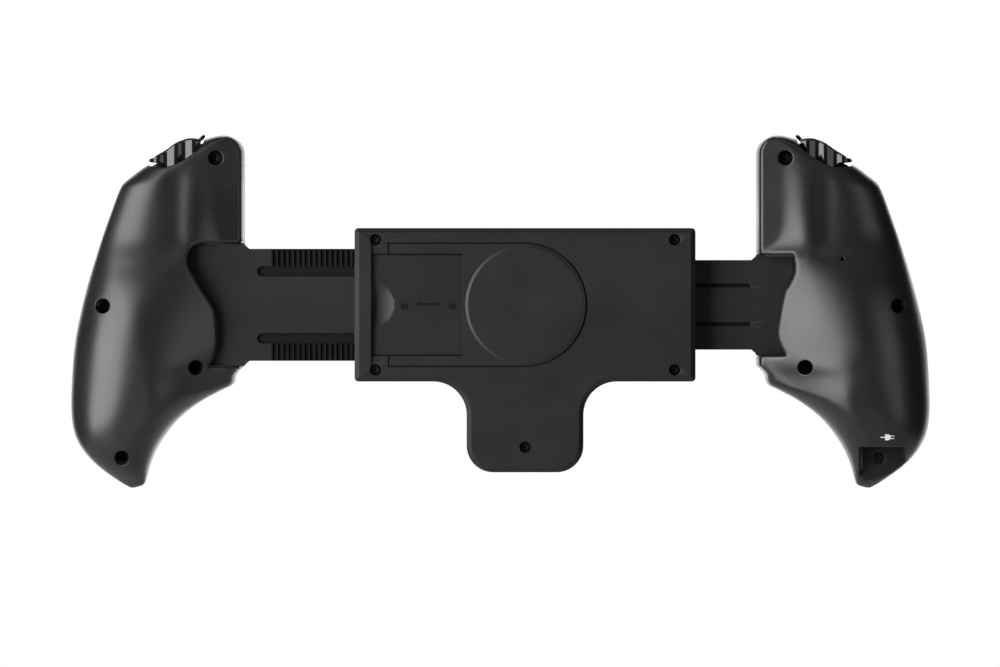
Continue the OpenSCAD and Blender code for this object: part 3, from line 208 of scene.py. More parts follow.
def back_y(u, z):
    """Depth of a grip's back."""
    start = curve(RISE_START, z)
    top = np.maximum(WING_D, curve(CREST, z))
    wing = WING_D + WING_SLOPE * u
    along = ease(*HOLLOW_START, z) * ease(*HOLLOW_END, z)
    hollow = HOLLOW_D * along * np.exp(-(((u - HOLLOW_U) / HOLLOW_W) ** 2))
    depth = wing + (top - wing) * ease(start, start + curve(RISE_LEN, z), u) - hollow
    sides = rounding(u - edge_in(z), curve(INNER_ROUND, z)) * rounding(edge_out(z) - u, curve(OUTER_ROUND, z))
    return np.minimum(Y_PART - SEAM, Y_PART - depth * sides * end_rounding(z, *BACK_ENDS))


def face_y(u, z):
    """Height of a grip's face. Along the device channel it starts above the channel."""
    inner = edge_in(z)
    start = np.where((z > CHANNEL_FOOT) & (inner < CHANNEL_D), CHANNEL_T, Y_PART)
    level = Y_PART + curve(FACE_LEVEL, z)
    height = start + (level - start) * rounding(u - inner, FACE_INNER_ROUND) - Y_PART
    height = height * rounding(edge_out(z) - u, FACE_OUTER_ROUND) * end_rounding(z, *FACE_ENDS)
    return np.maximum(Y_PART + SEAM, Y_PART + height)


# Mesh helpers


def inside(points, polygon):
    """Which points lie inside a polygon."""
    x, z = points.T
    found = np.zeros(len(points), bool)
    corners = np.array(polygon, float)
    for (ax, az), (bx, bz) in zip(corners, np.roll(corners, -1, 0)):
        if az != bz:
            found ^= ((az > z) != (bz > z)) & (x < (bx - ax) * (z - az) / (bz - az) + ax)
    return found


def distance(points, line):
    """Distance of points from a line of points."""
    best = np.full(len(points), 1e9)
    for a, b in zip(line[:-1], line[1:]):
        along = b - a
        t = np.clip((points - a) @ along / (along @ along), 0, 1)
        best = np.minimum(best, np.linalg.norm(points - a - t[:, None] * along, axis=1))
    return best


def resample(points, step):
    """Evenly spaced points on a smooth line through points."""
    p = np.array(points, float)
    run = np.concatenate([[0], np.cumsum(np.linalg.norm(np.diff(p, axis=0), axis=1))])
    at = np.linspace(0, run[-1], max(4, int(run[-1] / step)))
    return np.stack([curve(list(zip(run, p[:, k])), at) for k in (0, 1)], 1)


def circle(spot, r, count=40):
    """Closed round line."""
    turn = np.linspace(0, 2 * math.pi, count + 1)
    return np.stack([spot[0] + r * np.cos(turn), spot[1] + r * np.sin(turn)], 1)


def pill(spot, half, r, count=10):
    """Closed line round a slot with round ends."""
    turn = np.linspace(-math.pi / 2, math.pi / 2, count)
    end = np.stack([half - r + r * np.cos(turn), r * np.sin(turn)], 1)
    line = np.concatenate([end, -end, end[:1]])
    return line + np.array(spot)


def divided(corners, count):
    """Points on the straight sides between corners, so many on each side."""
    corners = np.array(corners, float)
    steps = np.linspace(0, 1, count, endpoint=False)[:, None]
    sides = [a + steps * (b - a) for a, b in zip(corners[:-1], corners[1:])]
    return np.concatenate(sides + [corners[-1:]])


def shifted(line, gap, polygon):
    """A line moved sideways, out of the polygon that it bounds."""
    closed = np.allclose(line[0], line[-1])
    if closed:
        along = np.roll(line[:-1], -1, 0) - np.roll(line[:-1], 1, 0)
        along = np.concatenate([along, along[:1]])
    else:
        along = np.gradient(line, axis=0)
    side = np.stack([along[:, 1], -along[:, 0]], 1)
    side /= np.linalg.norm(side, axis=1)[:, None]
    probe = len(line) // 2
    if inside((line[probe] + side[probe] * 0.05)[None], polygon)[0]:
        side = -side
    return line + side * gap


def cut(line, width, polygon=None):
    """An opening: the region it removes, its edge and how far that edge is rolled."""
    line = np.array(line, float)
    return {"line": line, "width": width, "polygon": line if polygon is None else np.array(polygon, float)}


def grip_rows(spacing):
    """Heights of the rows of points on a grip, closer at its ends."""
    foot, head = FACE_ENDS
    low = GRIP_LOW + foot * (1 - np.cos(np.linspace(0, math.pi / 2, 12)))
    top = GRIP_TOP - head * (1 - np.cos(np.linspace(math.pi / 2, 0, 8)))
    return np.concatenate([low, np.arange(low[-1] + spacing, top[0] - spacing / 2, spacing), top])


def plan_triangles(z, columns, cuts, left, right, notch):
    """Points and triangles of a grip's plan, along columns of points and round its openings."""
    across = (1 - np.cos(np.linspace(0, math.pi, columns + 1))) / 2
    u = left(z)[:, None] + (right(z) - left(z))[:, None] * across
    grid = np.stack([u, np.repeat(z[:, None], columns + 1, 1)], -1)
    outline = np.concatenate([grid[:, 0], grid[::-1, -1]])
    inner = grid[1:-1, 1:-1].reshape(-1, 2)
    keep = np.ones(len(inner), bool)
    for c in cuts:
        keep &= ~inside(inner, c["polygon"]) & (distance(inner, c["line"]) > c["width"] + CUT_MARGIN)
    edges = [(i, (i + 1) % len(outline)) for i in range(len(outline))]
    count = len(outline) + keep.sum()
    number = np.full((len(z) - 2, columns - 1), -1)
    number[keep.reshape(number.shape)] = np.arange(len(outline), count)
    upwards = zip(number[:-1].ravel(), number[1:].ravel())
    edges += [(int(a), int(b)) for a, b in upwards if min(a, b) >= 0]
    lines = [shifted(c["line"], share * c["width"], c["polygon"]) for c in cuts for share in ROLL_SHARES]
    if notch is not None:
        lines.append(notch)
    for line in lines:
        edges += [(count + i, count + i + 1) for i in range(len(line) - 1)]
        count += len(line)
    flat = [Vector(p) for p in np.concatenate([outline, inner[keep], *lines])]
    found, _, faces, _, _, _ = delaunay_2d_cdt(flat, edges, [], 0, 1e-4)
    plan, faces = np.array([tuple(p) for p in found]), np.array(faces)
    middle = plan[faces].mean(1)
    wanted = inside(middle, outline)
    for c in cuts:
        wanted &= ~inside(middle, c["polygon"])
    return plan, faces[wanted]


def skin(surface, z, columns, cuts, left=edge_in, right=edge_out, notch=None):
    """Triangles of a grip's outer surface with rolled edges round its openings, and the Y that each point
    has without the rolled edges. In the notch, the skin ends at the front of the shoulder button."""
    plan, faces = plan_triangles(z, columns, cuts, left, right, notch)
    y = plain = surface(plan[:, 0], plan[:, 1])
    away = -1 if surface is face_y else 1
    for c in cuts:
        near = np.clip(distance(plan, c["line"]) / c["width"], 0, 1)
        y = y + away * c["width"] * (1 - np.sqrt(1 - (1 - near) ** 2))
    y = np.maximum(y, Y_PART + SEAM) if surface is face_y else np.minimum(y, Y_PART - SEAM)
    if notch is not None:
        low = y < NOTCH_FRONT
        faces = faces[~(inside(plan[faces].mean(1), notch) & low[faces].all(1))]
        within = inside(plan, notch) & (distance(plan, notch) > 0.02)
        y = np.where(low & within, NOTCH_FRONT, y)
    used, faces = np.unique(faces, return_inverse=True)
    return np.stack([plan[:, 0], y, plan[:, 1]], 1)[used], faces.reshape(-1, 3), plain[used]


def to_frame(side, verts):
    """Points of a grip in the part's frame, in metres."""
    verts = np.array(verts, float)
    x = RIGHT_EDGE - verts[:, 0] if side == "right" else LEFT_EDGE + verts[:, 0]
    return np.stack([x, verts[:, 1], verts[:, 2]], 1) * MM


def add_piece(name, verts, faces, material, body, sharp=40):
    """A mesh piece in metres that rides on a body, with edges sharper than an angle kept sharp."""
    mesh = bpy.data.meshes.new(name)
    mesh.from_pydata([tuple(v) for v in verts], [], [tuple(int(i) for i in f) for f in faces])
    form = bmesh.new()
    form.from_mesh(mesh)
    bmesh.ops.remove_doubles(form, verts=form.verts, dist=1e-7)
    bmesh.ops.recalc_face_normals(form, faces=form.faces)
    for face in form.faces:
        face.smooth = True
    for edge in form.edges:
        edge.smooth = edge.calc_face_angle(0) < math.radians(sharp)
    form.to_mesh(mesh)
    form.free()
    piece = bpy.data.objects.new(name, mesh)
    bpy.context.scene.collection.objects.link(piece)
    mesh.materials.append(material)
    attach(piece, body)
    return piece


def thicken(verts, faces, plain, wall, outward, lip=0):
    """A closed shell from a surface: outward is the sign of Y that its outside faces.
    The inside follows the plain surface, so that it stays below the rolled edges.
    A lip takes the inner edge past the parting plane, so that the seam is a groove and not a slit."""
    base = np.stack([verts[:, 0], plain, verts[:, 2]], 1)
    corners = base[faces]
    normal = np.cross(corners[:, 1] - corners[:, 0], corners[:, 2] - corners[:, 0])
    if normal[:, 1].sum() * outward < 0:
        faces, normal = faces[:, ::-1], -normal
    smooth = np.zeros_like(base)
    for k in range(3):
        np.add.at(smooth, faces[:, k], normal)
    smooth /= np.maximum(np.linalg.norm(smooth, axis=1), 1e-12)[:, None]
    count = len(verts)
    sides = np.concatenate([faces[:, [0, 1]], faces[:, [1, 2]], faces[:, [2, 0]]])
    seen = {tuple(s) for s in sides}
    rim = [(a, b) for a, b in seen if (b, a) not in seen]
    closed = [tuple(f) for f in faces] + [tuple(f[::-1] + count) for f in faces]
    closed += [(b, a, a + count, b + count) for a, b in rim]
    inner = base - smooth * wall
    below_roll = outward * np.minimum(outward * inner[:, 1], outward * verts[:, 1] - UNDER)
    inner[:, 1] = np.where(verts[:, 1] == plain, inner[:, 1], below_roll)
    at_seam = [a for a, _ in rim if abs(verts[a, 1] - Y_PART) < SEAM * 1.01]
    inner[at_seam, 1] -= outward * lip
    return np.concatenate([verts, inner]), closed


def rings_to_faces(rings, count, closed=False):
    """Quads between rows of points that each go round."""
    faces = []
    for j in range(rings if closed else rings - 1):
        for k in range(count):
            n, below = (k + 1) % count, (j + 1) % rings
            faces.append((j * count + k, j * count + n, below * count + n, below * count + k))
    return faces


def joined(parts):
    """One list of points and faces from several."""
    verts, faces, start = [], [], 0
    for v, f in parts:
        verts.append(np.array(v, float))
        faces += [tuple(int(i) + start for i in face) for face in f]
        start += len(v)
    return np.concatenate(verts), faces


def recess_y(u, z):
    """Floor of the plug recess, and the skin where that lies in front of the floor."""
    return np.maximum(back_y(u, z), RECESS_FLOOR)


def well(surface, spot, r, floor):
    """Tube with a floor that a screw sits in, below the skin of a grip's back."""
    turn = np.linspace(0, 2 * math.pi, 40, endpoint=False)
    wide, foot = r + WELL_WALL, floor + WELL_FLOOR_T
    path = ((wide, None), (r, None), (r, floor), (SCREW_HOLE_R, floor), (SCREW_HOLE_R, foot), (wide, foot))
    rows = []
    for radius, y in path:
        u, z = spot[0] + radius * np.cos(turn), spot[1] + radius * np.sin(turn)
        below = surface(u, z)
        level = below + SKIN_D if y is None else np.full(len(turn), y)
        rows.append(np.stack([u, np.maximum(np.minimum(level, foot), below + UNDER), z], 1))
    return np.concatenate(rows), rings_to_faces(len(rows), len(turn), closed=True)


def curtain(line, polygon, surface, y_end, wall=0.8, drop=1.2, least=0.2):
    """Wall below the edge of an opening, from a drop below the skin to a level, where it is high enough."""
    outer = shifted(line, wall, polygon)
    rim = surface(line[:, 0], line[:, 1]) + drop
    keep = rim < y_end - least
    if keep.sum() < 2:
        return []
    sections = []
    for a, b, y in zip(line[keep], outer[keep], rim[keep]):
        corners = [(a[0], y, a[1]), (a[0], y_end, a[1]), (b[0], y_end, b[1]), (b[0], y + 0.1, b[1])]
        sections.append(np.array(corners))
    return [loft(sections)]


def box(u, y, z):
    """Block from low to high in each direction."""
    return loft([np.array([(u[0], y[0], h), (u[1], y[0], h), (u[1], y[1], h), (u[0], y[1], h)]) for h in z])


def loft(sections):
    """Closed solid through sections that have the same number of points."""
    count = len(sections[0])
    faces = rings_to_faces(len(sections), count)
    last = (len(sections) - 1) * count
    faces += [tuple(range(count))[::-1], tuple(range(last, last + count))]
    return np.concatenate(sections), faces


def plate(outline, y0, y1, edge=0.0):
    """Flat piece in X and Z from y0 to y1, with its outer edge at y1 drawn in by edge."""
    line = np.array(outline, float)
    rows = [(line, y0), (line, y1 + math.copysign(edge, y0 - y1))]
    if edge:
        middle = line.mean(0)
        inward = middle - line
        rows.append((line + inward / np.linalg.norm(inward, axis=1)[:, None] * edge, y1))
    return loft([np.stack([p[:, 0], np.full(len(p), y), p[:, 1]], 1) for p, y in rows])


# Materials


def node_group(name, inputs, outputs):
    """A new group of shader nodes with its input and output nodes."""
    group = bpy.data.node_groups.new(name, "ShaderNodeTree")
    for label, value in inputs:
        group.interface.new_socket(label, in_out="INPUT", socket_type="NodeSocketFloat").default_value = value
    for label in outputs:
        group.interface.new_socket(label, in_out="OUTPUT", socket_type="NodeSocketFloat")
    return group, group.nodes.new("NodeGroupInput"), group.nodes.new("NodeGroupOutput")


def moulded_grain():
    """Fine texture of a moulded surface, with slow changes over the piece."""
    name = "moulded_grain"
    if name in bpy.data.node_groups:
        return bpy.data.node_groups[name]
    group, given, out = node_group(name, [("Scale", 2400.0)], ["Height", "Mottle"])
    place = group.nodes.new("ShaderNodeTexCoord")
    fine = group.nodes.new("ShaderNodeTexNoise")
    fine.inputs["Detail"].default_value = 3
    wide = group.nodes.new("ShaderNodeTexNoise")
    wide.inputs["Scale"].default_value = 70
    wide.inputs["Detail"].default_value = 4
    link = group.links.new
    link(place.outputs["Object"], fine.inputs["Vector"])
    link(place.outputs["Object"], wide.inputs["Vector"])
    link(given.outputs["Scale"], fine.inputs["Scale"])
    link(fine.outputs["Fac"], out.inputs["Height"])
    link(wide.outputs["Fac"], out.inputs["Mottle"])
    return group


def handling_marks():
    """Smudges where hands polish a surface."""
    name = "handling_marks"
    if name in bpy.data.node_groups:
        return bpy.data.node_groups[name]
    group, given, out = node_group(name, [("Scale", 45.0)], ["Smudge"])
    place = group.nodes.new("ShaderNodeTexCoord")
    smudge = group.nodes.new("ShaderNodeTexNoise")
    smudge.inputs["Detail"].default_value = 5
    smudge.inputs["Distortion"].default_value = 0.6
    link = group.links.new
    link(place.outputs["Object"], smudge.inputs["Vector"])
    link(given.outputs["Scale"], smudge.inputs["Scale"])
    link(smudge.outputs["Fac"], out.inputs["Smudge"])
    return group


def combined(tree, operation, first, second):
    """Result of a math node on an output and an output or a number."""
    node = tree.nodes.new("ShaderNodeMath")
    node.operation = operation
    tree.links.new(first, node.inputs[0])
    if isinstance(second, (int, float)):
        node.inputs[1].default_value = second
    else:
        tree.links.new(second, node.inputs[1])
    return node.outputs["Value"]


def rack_zone():
    """Where the rack runs along both edges of the toothed arm: the mask of the painted shade on the rack."""
    inputs = [("Start", RACK_START * MM), ("Inner", RACK_INNER * MM)]
    group, given, out = node_group("rack_zone", inputs, ["Zone"])
    place = group.nodes.new("ShaderNodeTexCoord")
    axes = group.nodes.new("ShaderNodeSeparateXYZ")
    height = group.nodes.new("ShaderNodeMath")
    height.operation = "ABSOLUTE"
    link = group.links.new
    link(place.outputs["Object"], axes.inputs["Vector"])
    link(axes.outputs["Z"], height.inputs[0])
    along = combined(group, "GREATER_THAN", axes.outputs["X"], given.outputs["Start"])
    across = combined(group, "GREATER_THAN", height.outputs["Value"], given.outputs["Inner"])
    link(combined(group, "MULTIPLY", along, across), out.inputs["Zone"])
    return group


def finish(name, colour, roughness, spread=0.06, grain=2400.0, depth=0.000005, tint=1.35, **sockets):
    """Material of a moulded or metal surface with grain, mottle and handling marks."""
    if name in bpy.data.materials:
        return bpy.data.materials[name]
    material = bpy.data.materials.new(name)
    material.use_nodes = True
    tree = material.node_tree
    shader = tree.nodes["Principled BSDF"]
    for label, value in sockets.items():
        shader.inputs[label.replace("_", " ")].default_value = value
    texture = tree.nodes.new("ShaderNodeGroup")
    texture.node_tree = moulded_grain()
    texture.inputs["Scale"].default_value = grain
    marks = tree.nodes.new("ShaderNodeGroup")
    marks.node_tree = handling_marks()
    mix = tree.nodes.new("ShaderNodeMix")
    mix.data_type = "RGBA"
    mix.inputs["A"].default_value = (*colour, 1)
    mix.inputs["B"].default_value = (*[min(1.0, c * tint) for c in colour], 1)
    spread_map = tree.nodes.new("ShaderNodeMapRange")
    spread_map.inputs["From Min"].default_value = 0.3
    spread_map.inputs["From Max"].default_value = 0.7
    spread_map.inputs["To Min"].default_value = roughness - spread
    spread_map.inputs["To Max"].default_value = roughness + spread
    bump = tree.nodes.new("ShaderNodeBump")
    bump.inputs["Strength"].default_value = 0.5
    bump.inputs["Distance"].default_value = depth
    link = tree.links.new
    link(texture.outputs["Mottle"], mix.inputs["Factor"])
    link(mix.outputs["Result"], shader.inputs["Base Color"])
    link(marks.outputs["Smudge"], spread_map.inputs["Value"])
    link(spread_map.outputs["Result"], shader.inputs["Roughness"])
    link(texture.outputs["Height"], bump.inputs["Height"])
    link(bump.outputs["Normal"], shader.inputs["Normal"])
    return material


def settings():
    """The settings of the scene."""
    return bpy.context.scene.controller_looks


def block_plastic():
    """Fine matt plastic of the middle block."""
    return finish("block_plastic_look", settings().finishes.block, 0.45, grain=2600.0,
                  Specular_IOR_Level=0.28)


def arm_plastic():
    """Fine matt plastic of the smooth arm, and of the bases of the sticks and the direction pad."""
    return finish("arm_plastic_look", settings().finishes.arm, 0.45, grain=2600.0, Specular_IOR_Level=0.28)


def rack_plastic_with_painted_shade():
    """Plastic of the toothed arm, with painted shade where the rack runs: darker there to stand in for the
    shade between the teeth.
    """
    material = finish("rack_plastic_look", settings().finishes.arm, 0.45, grain=2600.0,
                      Specular_IOR_Level=0.26)
    tree = material.node_tree
    shader = tree.nodes["Principled BSDF"]
    zone = tree.nodes.new("ShaderNodeGroup")
    zone.node_tree = rack_zone()
    # Painted shade: the rack's zone is darkened to stand in for the shade between the teeth
    rack_shade_mix = tree.nodes.new("ShaderNodeMix")
    rack_shade_mix.data_type = "RGBA"
    rack_shade_mix.inputs["B"].default_value = (*settings().finishes.rack, 1)
    link = tree.links.new
    link(zone.outputs["Zone"], rack_shade_mix.inputs["Factor"])
    link(shader.inputs["Base Color"].links[0].from_socket, rack_shade_mix.inputs["A"])
    link(rack_shade_mix.outputs["Result"], shader.inputs["Base Color"])
    return material


def grip_plastic():
    """Satin plastic of the grips."""
    finishes = settings().finishes
    return finish("grip_plastic_look", finishes.grip, finishes.grip_roughness, grain=3200.0, depth=0.000002)


def gloss_black():
    """Polished plastic of the shoulder parts."""
    return finish("gloss_black_look", settings().finishes.gloss, 0.1, spread=0.04, depth=0.0000005,
                  grain=900.0)


def button_plastic():
    """Smooth plastic of the buttons and sticks."""
    return finish("button_plastic_look", settings().finishes.button, 0.3, spread=0.05, depth=0.000002)


def soft_rubber():
    """Rubber of the pads and stick caps."""
    return finish("soft_rubber_look", settings().finishes.rubber, 0.75, grain=1800.0, depth=0.00001)


def screw_steel():
    """Blackened steel of the screws."""
    return finish("screw_steel", settings().finishes.screw, 0.38, grain=1500.0, depth=0.000004, Metallic=1.0)


def bright_steel():
    """Bright steel of the pieces inside."""
    return finish("bright_steel", settings().finishes.steel, 0.28, grain=1500.0, depth=0.000003, Metallic=1.0)


def engraving():
    """Painted shade: a dark colour that stands in for the shade in the engraved signs and in the slots."""
    return finish("engraving", settings().finishes.engraving, 0.6, Specular_IOR_Level=0.1)


def printed_mark():
    """Light ink of printed signs."""
    return finish("printed_mark", settings().finishes.printed, 0.5, tint=1.1)


def dress(names, material, bevel=0.0, angle=32):
    """Gives CAD nodes a material, and small rounds on their edges."""
    for name in names:
        node = NODES[name]
        node.data.materials.clear()
        node.data.materials.append(material)
        if bevel:
            weld = node.modifiers.new("weld", "WELD")
            weld.merge_threshold = 1e-6
            rounds = node.modifiers.new("edge_rounds", "BEVEL")
            rounds.width = bevel * MM
            rounds.segments = 2
            rounds.limit_method = "ANGLE"
            rounds.angle_limit = math.radians(angle)
            node.modifiers.new("even_shading", "WEIGHTED_NORMAL")


# Properties


class GripSettings(bpy.types.PropertyGroup):
    """Mesh and edges of the grips."""

    columns: IntProperty(name="Columns", description="Points across a grip", default=64, min=24, max=128)
    spacing: FloatProperty(name="Row spacing", description="Distance between rows of points, in millimetres",
                           default=0.9, min=0.4, max=3)
    arm_roll: FloatProperty(name="Arm edge", default=1.2, min=0.2, max=2,
                            description="Radius where the palm swell meets an arm, in millimetres")
    edge_roll: FloatProperty(name="Opening edge", default=0.45, min=0.1, max=1,
                             description="Radius round the other openings, in millimetres")


def colour_property(name, description, value):
    """Setting of a colour."""
    return FloatVectorProperty(name=name, description=description, subtype="COLOR", size=3, default=value,
                               min=0, max=1)


def power_property(name, description, value):
    """Setting of a lamp's power."""
    return FloatProperty(name=name, description=description, default=value, unit="POWER", min=0)


class FinishSettings(bpy.types.PropertyGroup):
    """Colours and finishes."""

    block: colour_property("Block", "Colour of the middle block", (0.009, 0.009, 0.0098))
    arm: colour_property("Arms", "Colour of the sliding arms", (0.0085, 0.0085, 0.0092))
    # Rack: colour of the painted shade over the rack's zone, standing in for the shade between the teeth
    rack: colour_property("Rack", "Colour of the rack's zone on the toothed arm", (0.002, 0.002, 0.0022))
    grip: colour_property("Grips", "Colour of the grips", (0.006, 0.006, 0.0066))
    gloss: colour_property("Shoulder parts", "Colour of the glossy shoulder parts", (0.006, 0.006, 0.0065))
    button: colour_property("Buttons", "Colour of the buttons", (0.008, 0.008, 0.009))
    rubber: colour_property("Rubber", "Colour of the pads and stick caps", (0.009, 0.009, 0.0095))
    screw: colour_property("Screws", "Colour of the blackened screws", (0.02, 0.02, 0.021))
    steel: colour_property("Steel", "Colour of the bright steel pieces", (0.5, 0.5, 0.51))
    # Engraving: colour of the painted shade in the engraved signs and on the slot floors
    engraving: colour_property("Engraving", "Colour of the engraved signs", (0.004, 0.004, 0.005))
    printed: colour_property("Printed signs", "Colour of the printed signs", (0.72, 0.72, 0.72))
    grip_roughness: FloatProperty(name="Grip roughness", description="Roughness of the grips' satin finish",
                                  default=0.36, min=0.1, max=0.9)


class StageSettings(bpy.types.PropertyGroup):
    """Floor, light and camera."""

    floor: colour_property("Floor", "Colour of the floor", (0.6, 0.6, 0.6))
    floor_drop: FloatProperty(name="Floor drop", default=0.11, unit="LENGTH", min=0,
                              description="Distance of the floor below the grips")
    floor_size: FloatProperty(name="Floor size", default=0.36, unit="LENGTH", min=0.2,
                              description="Radius of the floor")
    lens: FloatProperty(name="Lens", default=600, min=50,
                        description="Focal length of the camera, in millimetres")
    distance: FloatProperty(name="Camera distance", default=5, unit="LENGTH", min=0.4,
                            description="Distance of the camera from the grips' backs")
    key: power_property("Key light", "Power of the key light", 60)
    top: power_property("Top light", "Power of the top light", 2)
    fill: power_property("Fill light", "Power of the fill light", 3.2)
    far: power_property("Far light", "Power of the light on the grips' fronts", 18)
    room: FloatProperty(name="Room light", default=0.06, min=0,
                        description="Strength of the light from all round")


class ControllerLooks(bpy.types.PropertyGroup):
    """All settings of the controller's looks."""

    grips: PointerProperty(type=GripSettings)
    finishes: PointerProperty(type=FinishSettings)
    stage: PointerProperty(type=StageSettings)


# Operators


def root_cut(root, arm_h):
    """Opening in a grip's back that shows the root of an arm, open at the grip's inner edge."""
    near, far = -1.5, -3.0
    half = arm_h / 2 + ROOT_MARGIN + ROOT_GAP
    line = resample([(p[0] + ROOT_GAP, p[1] / root[0][1] * half) for p in root], 0.55)
    foot = np.array([[far, -half], [near, -half]])
    head = foot[::-1] * np.array([1, -1])
    steps = np.linspace(0, 1, 18)[:, None]
    top = np.array([near, half]) + steps * (line[0] - np.array([near, half]))
    bottom = line[-1] + steps * (np.array([near, -half]) - line[-1])
    edge = np.concatenate([top, line[1:-1], bottom])
    return cut(edge, settings().grips.arm_roll, np.concatenate([head[1:], edge, foot[:1]]))


def plug_recess(grips):
    """Edge of the plug recess in the left grip, and the solids that line it."""
    n, margin, behind = 24, 0.4, RECESS_FLOOR + 0.5
    line = divided(RECESS, n)
    (u0, _), (_, top), (u1, _) = RECESS[:3]
    foot = GRIP_LOW + 4 * (1 - np.cos(np.linspace(0, math.pi / 2, 8)))
    z = np.concatenate([foot, np.arange(-50, top - margin, 0.8), [top + margin]])
    screw = GRIP_SCREWS[3]
    floor = skin(recess_y, z, 22, [cut(circle(screw, RECESS_SCREW_R), PIN_ROLL)],
                 lambda h: np.maximum(u0 - margin, edge_in(h)),
                 lambda h: np.maximum(np.minimum(u1 + margin, edge_out(h)), edge_in(h) + 0.3))
    lining = [thicken(*floor, RECESS_WALL, -1),
              well(recess_y, screw, RECESS_SCREW_R + WELL_FIT, RECESS_WELL_FLOOR)]
    lining += curtain(line[n:2 * n + 1], np.array(RECESS), back_y, SOCKET_BACK + 0.1)
    for ends in (line[:n + 1], line[2 * n:]):
        lining += curtain(ends, np.array(RECESS), back_y, behind)
    for ends in ((u0 - margin, SOCKET_SPAN[0]), (SOCKET_SPAN[1], u1 + margin)):
        lining.append(box(ends, (SOCKET_BACK, behind), (top, top + 0.8)))
    return cut(line, grips.edge_roll, RECESS), lining


class CONTROLLER_OT_grip_backs(bpy.types.Operator):
    """Build the smooth back shells of the two grips"""

    bl_idname = "controller.grip_backs"
    bl_label = "Grip backs"

    def execute(self, context):
        grips = settings().grips
        notch = resample(BACK_NOTCH[:-1], 0.6)
        for side, arm in ARMS.items():
            window = root_cut(arm["root"], arm["height"])
            cuts = [window, cut(notch, grips.edge_roll, np.concatenate([notch, BACK_NOTCH[-1:]]))]
            inner = curtain(window["line"], window["polygon"], back_y, arm["skirt"])
            for spot in GRIP_SCREWS if side == "right" else GRIP_SCREWS[:3]:
                cuts.append(cut(circle(spot, WELL_R), WELL_ROLL))
                inner.append(well(back_y, spot, WELL_R + WELL_FIT, WELL_FLOOR))
            if side == "left":
                cuts.append(cut(circle(RESET_SPOT, RESET_R, 20), PIN_ROLL))
                edge, pocket = plug_recess(grips)
                cuts.append(edge)
                inner += pocket
            outer = skin(back_y, grip_rows(grips.spacing), grips.columns, cuts)
            shell = thicken(*outer, GRIP_WALL, -1)
            verts, faces = joined([shell] + inner)
            piece = add_piece(f"{side}_grip_back", to_frame(side, verts), faces, grip_plastic(),
                              f"{side}_handle")
            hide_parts(f"{side}_grip_rear_shell")
        return {"FINISHED"}


def face_openings(side):
    """Openings in a grip's face for its small key, its stick, and its buttons or direction pad."""
    cuts = [cut(pill(SIDE_KEY, SIDE_KEY_HALF, SIDE_KEY_R), SIDE_KEY_ROLL)]
    if side == "left":
        cuts.append(cut(circle(UPPER_SPOT, STICK_HOLE_R, 72), LARGE_ROLL))
        cuts.append(cut(circle(LOWER_SPOT, PAD_HOLE_R, 90), LARGE_ROLL))
        return cuts
    cuts.append(cut(circle(LOWER_SPOT, STICK_HOLE_R, 72), LARGE_ROLL))
    for turn in range(4):
        a = math.radians(90 * turn)
        spot = (UPPER_SPOT[0] + BUTTON_RING_R * math.cos(a), UPPER_SPOT[1] + BUTTON_RING_R * math.sin(a))
        cuts.append(cut(circle(spot, BUTTON_HOLE_R, 48), BUTTON_ROLL))
    return cuts


def channel():
    """Walls of the channel that takes the edge of the device, below the skin of the face."""
    z = np.linspace(CHANNEL_FOOT + 0.1, GRIP_TOP - 0.3, 90)
    inner = np.minimum(edge_in(z), CHANNEL_D - FIT)
    foot, deep, back = Y_PART + SEAM, CHANNEL_D + CHANNEL_WALL, CHANNEL_T + CHANNEL_WALL
    sections = []
    for u, height in zip(inner, z):
        lip = min(u + 0.3, CHANNEL_D)
        path = [(u, foot), (u, -0.3), (lip, 0), (CHANNEL_D, 0), (CHANNEL_D, CHANNEL_T), (lip, CHANNEL_T),
                (lip, back), (deep, back), (deep, -CHANNEL_WALL), (lip + CHANNEL_WALL, -CHANNEL_WALL),
                (lip + CHANNEL_WALL, foot)]
        a, b = np.array(path).T
        under = face_y(np.maximum(a, u + FIT), np.full(len(a), height)) - FIT
        sections.append(np.stack([a, np.minimum(b, under), np.full(len(a), height)], 1))
    return loft(sections)


class CONTROLLER_OT_grip_faces(bpy.types.Operator):
    """Build the smooth front shells of the two grips with their device channels"""

    bl_idname = "controller.grip_faces"
    bl_label = "Grip faces"

    def execute(self, context):
        grips = settings().grips
        rows, notch = grip_rows(grips.spacing), divided(FRONT_NOTCH, 12)
        for side in ("right", "left"):
            outer = skin(face_y, rows, grips.columns, face_openings(side), notch=notch)
            shell = thicken(*outer, GRIP_WALL, 1, SEAM_LIP)
            verts, faces = joined([shell, channel()])
            piece = add_piece(f"{side}_grip_face", to_frame(side, verts), faces, grip_plastic(),
                              f"{side}_handle")
            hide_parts(f"{side}_grip_front_shell")
        return {"FINISHED"}


class CONTROLLER_OT_middle_block(bpy.types.Operator):
    """Dress the middle block, its lock plate and the slider"""

    bl_idname = "controller.middle_block"
    bl_label = "Middle block"

    def execute(self, context):
        dress(["block_rear_cover", "block_front_plate"], block_plastic(), 0.25)
        # The plate's disc slopes little, so its edge is rounded from a smaller angle
        dress(["lock_plate"], block_plastic(), 0.15, angle=18)
        dress(["lock_slider"], block_plastic(), 0.15)
        dress(["block_screws", "right_grip_screws", "left_grip_screws"], screw_steel(), 0.08)
        return {"FINISHED"}


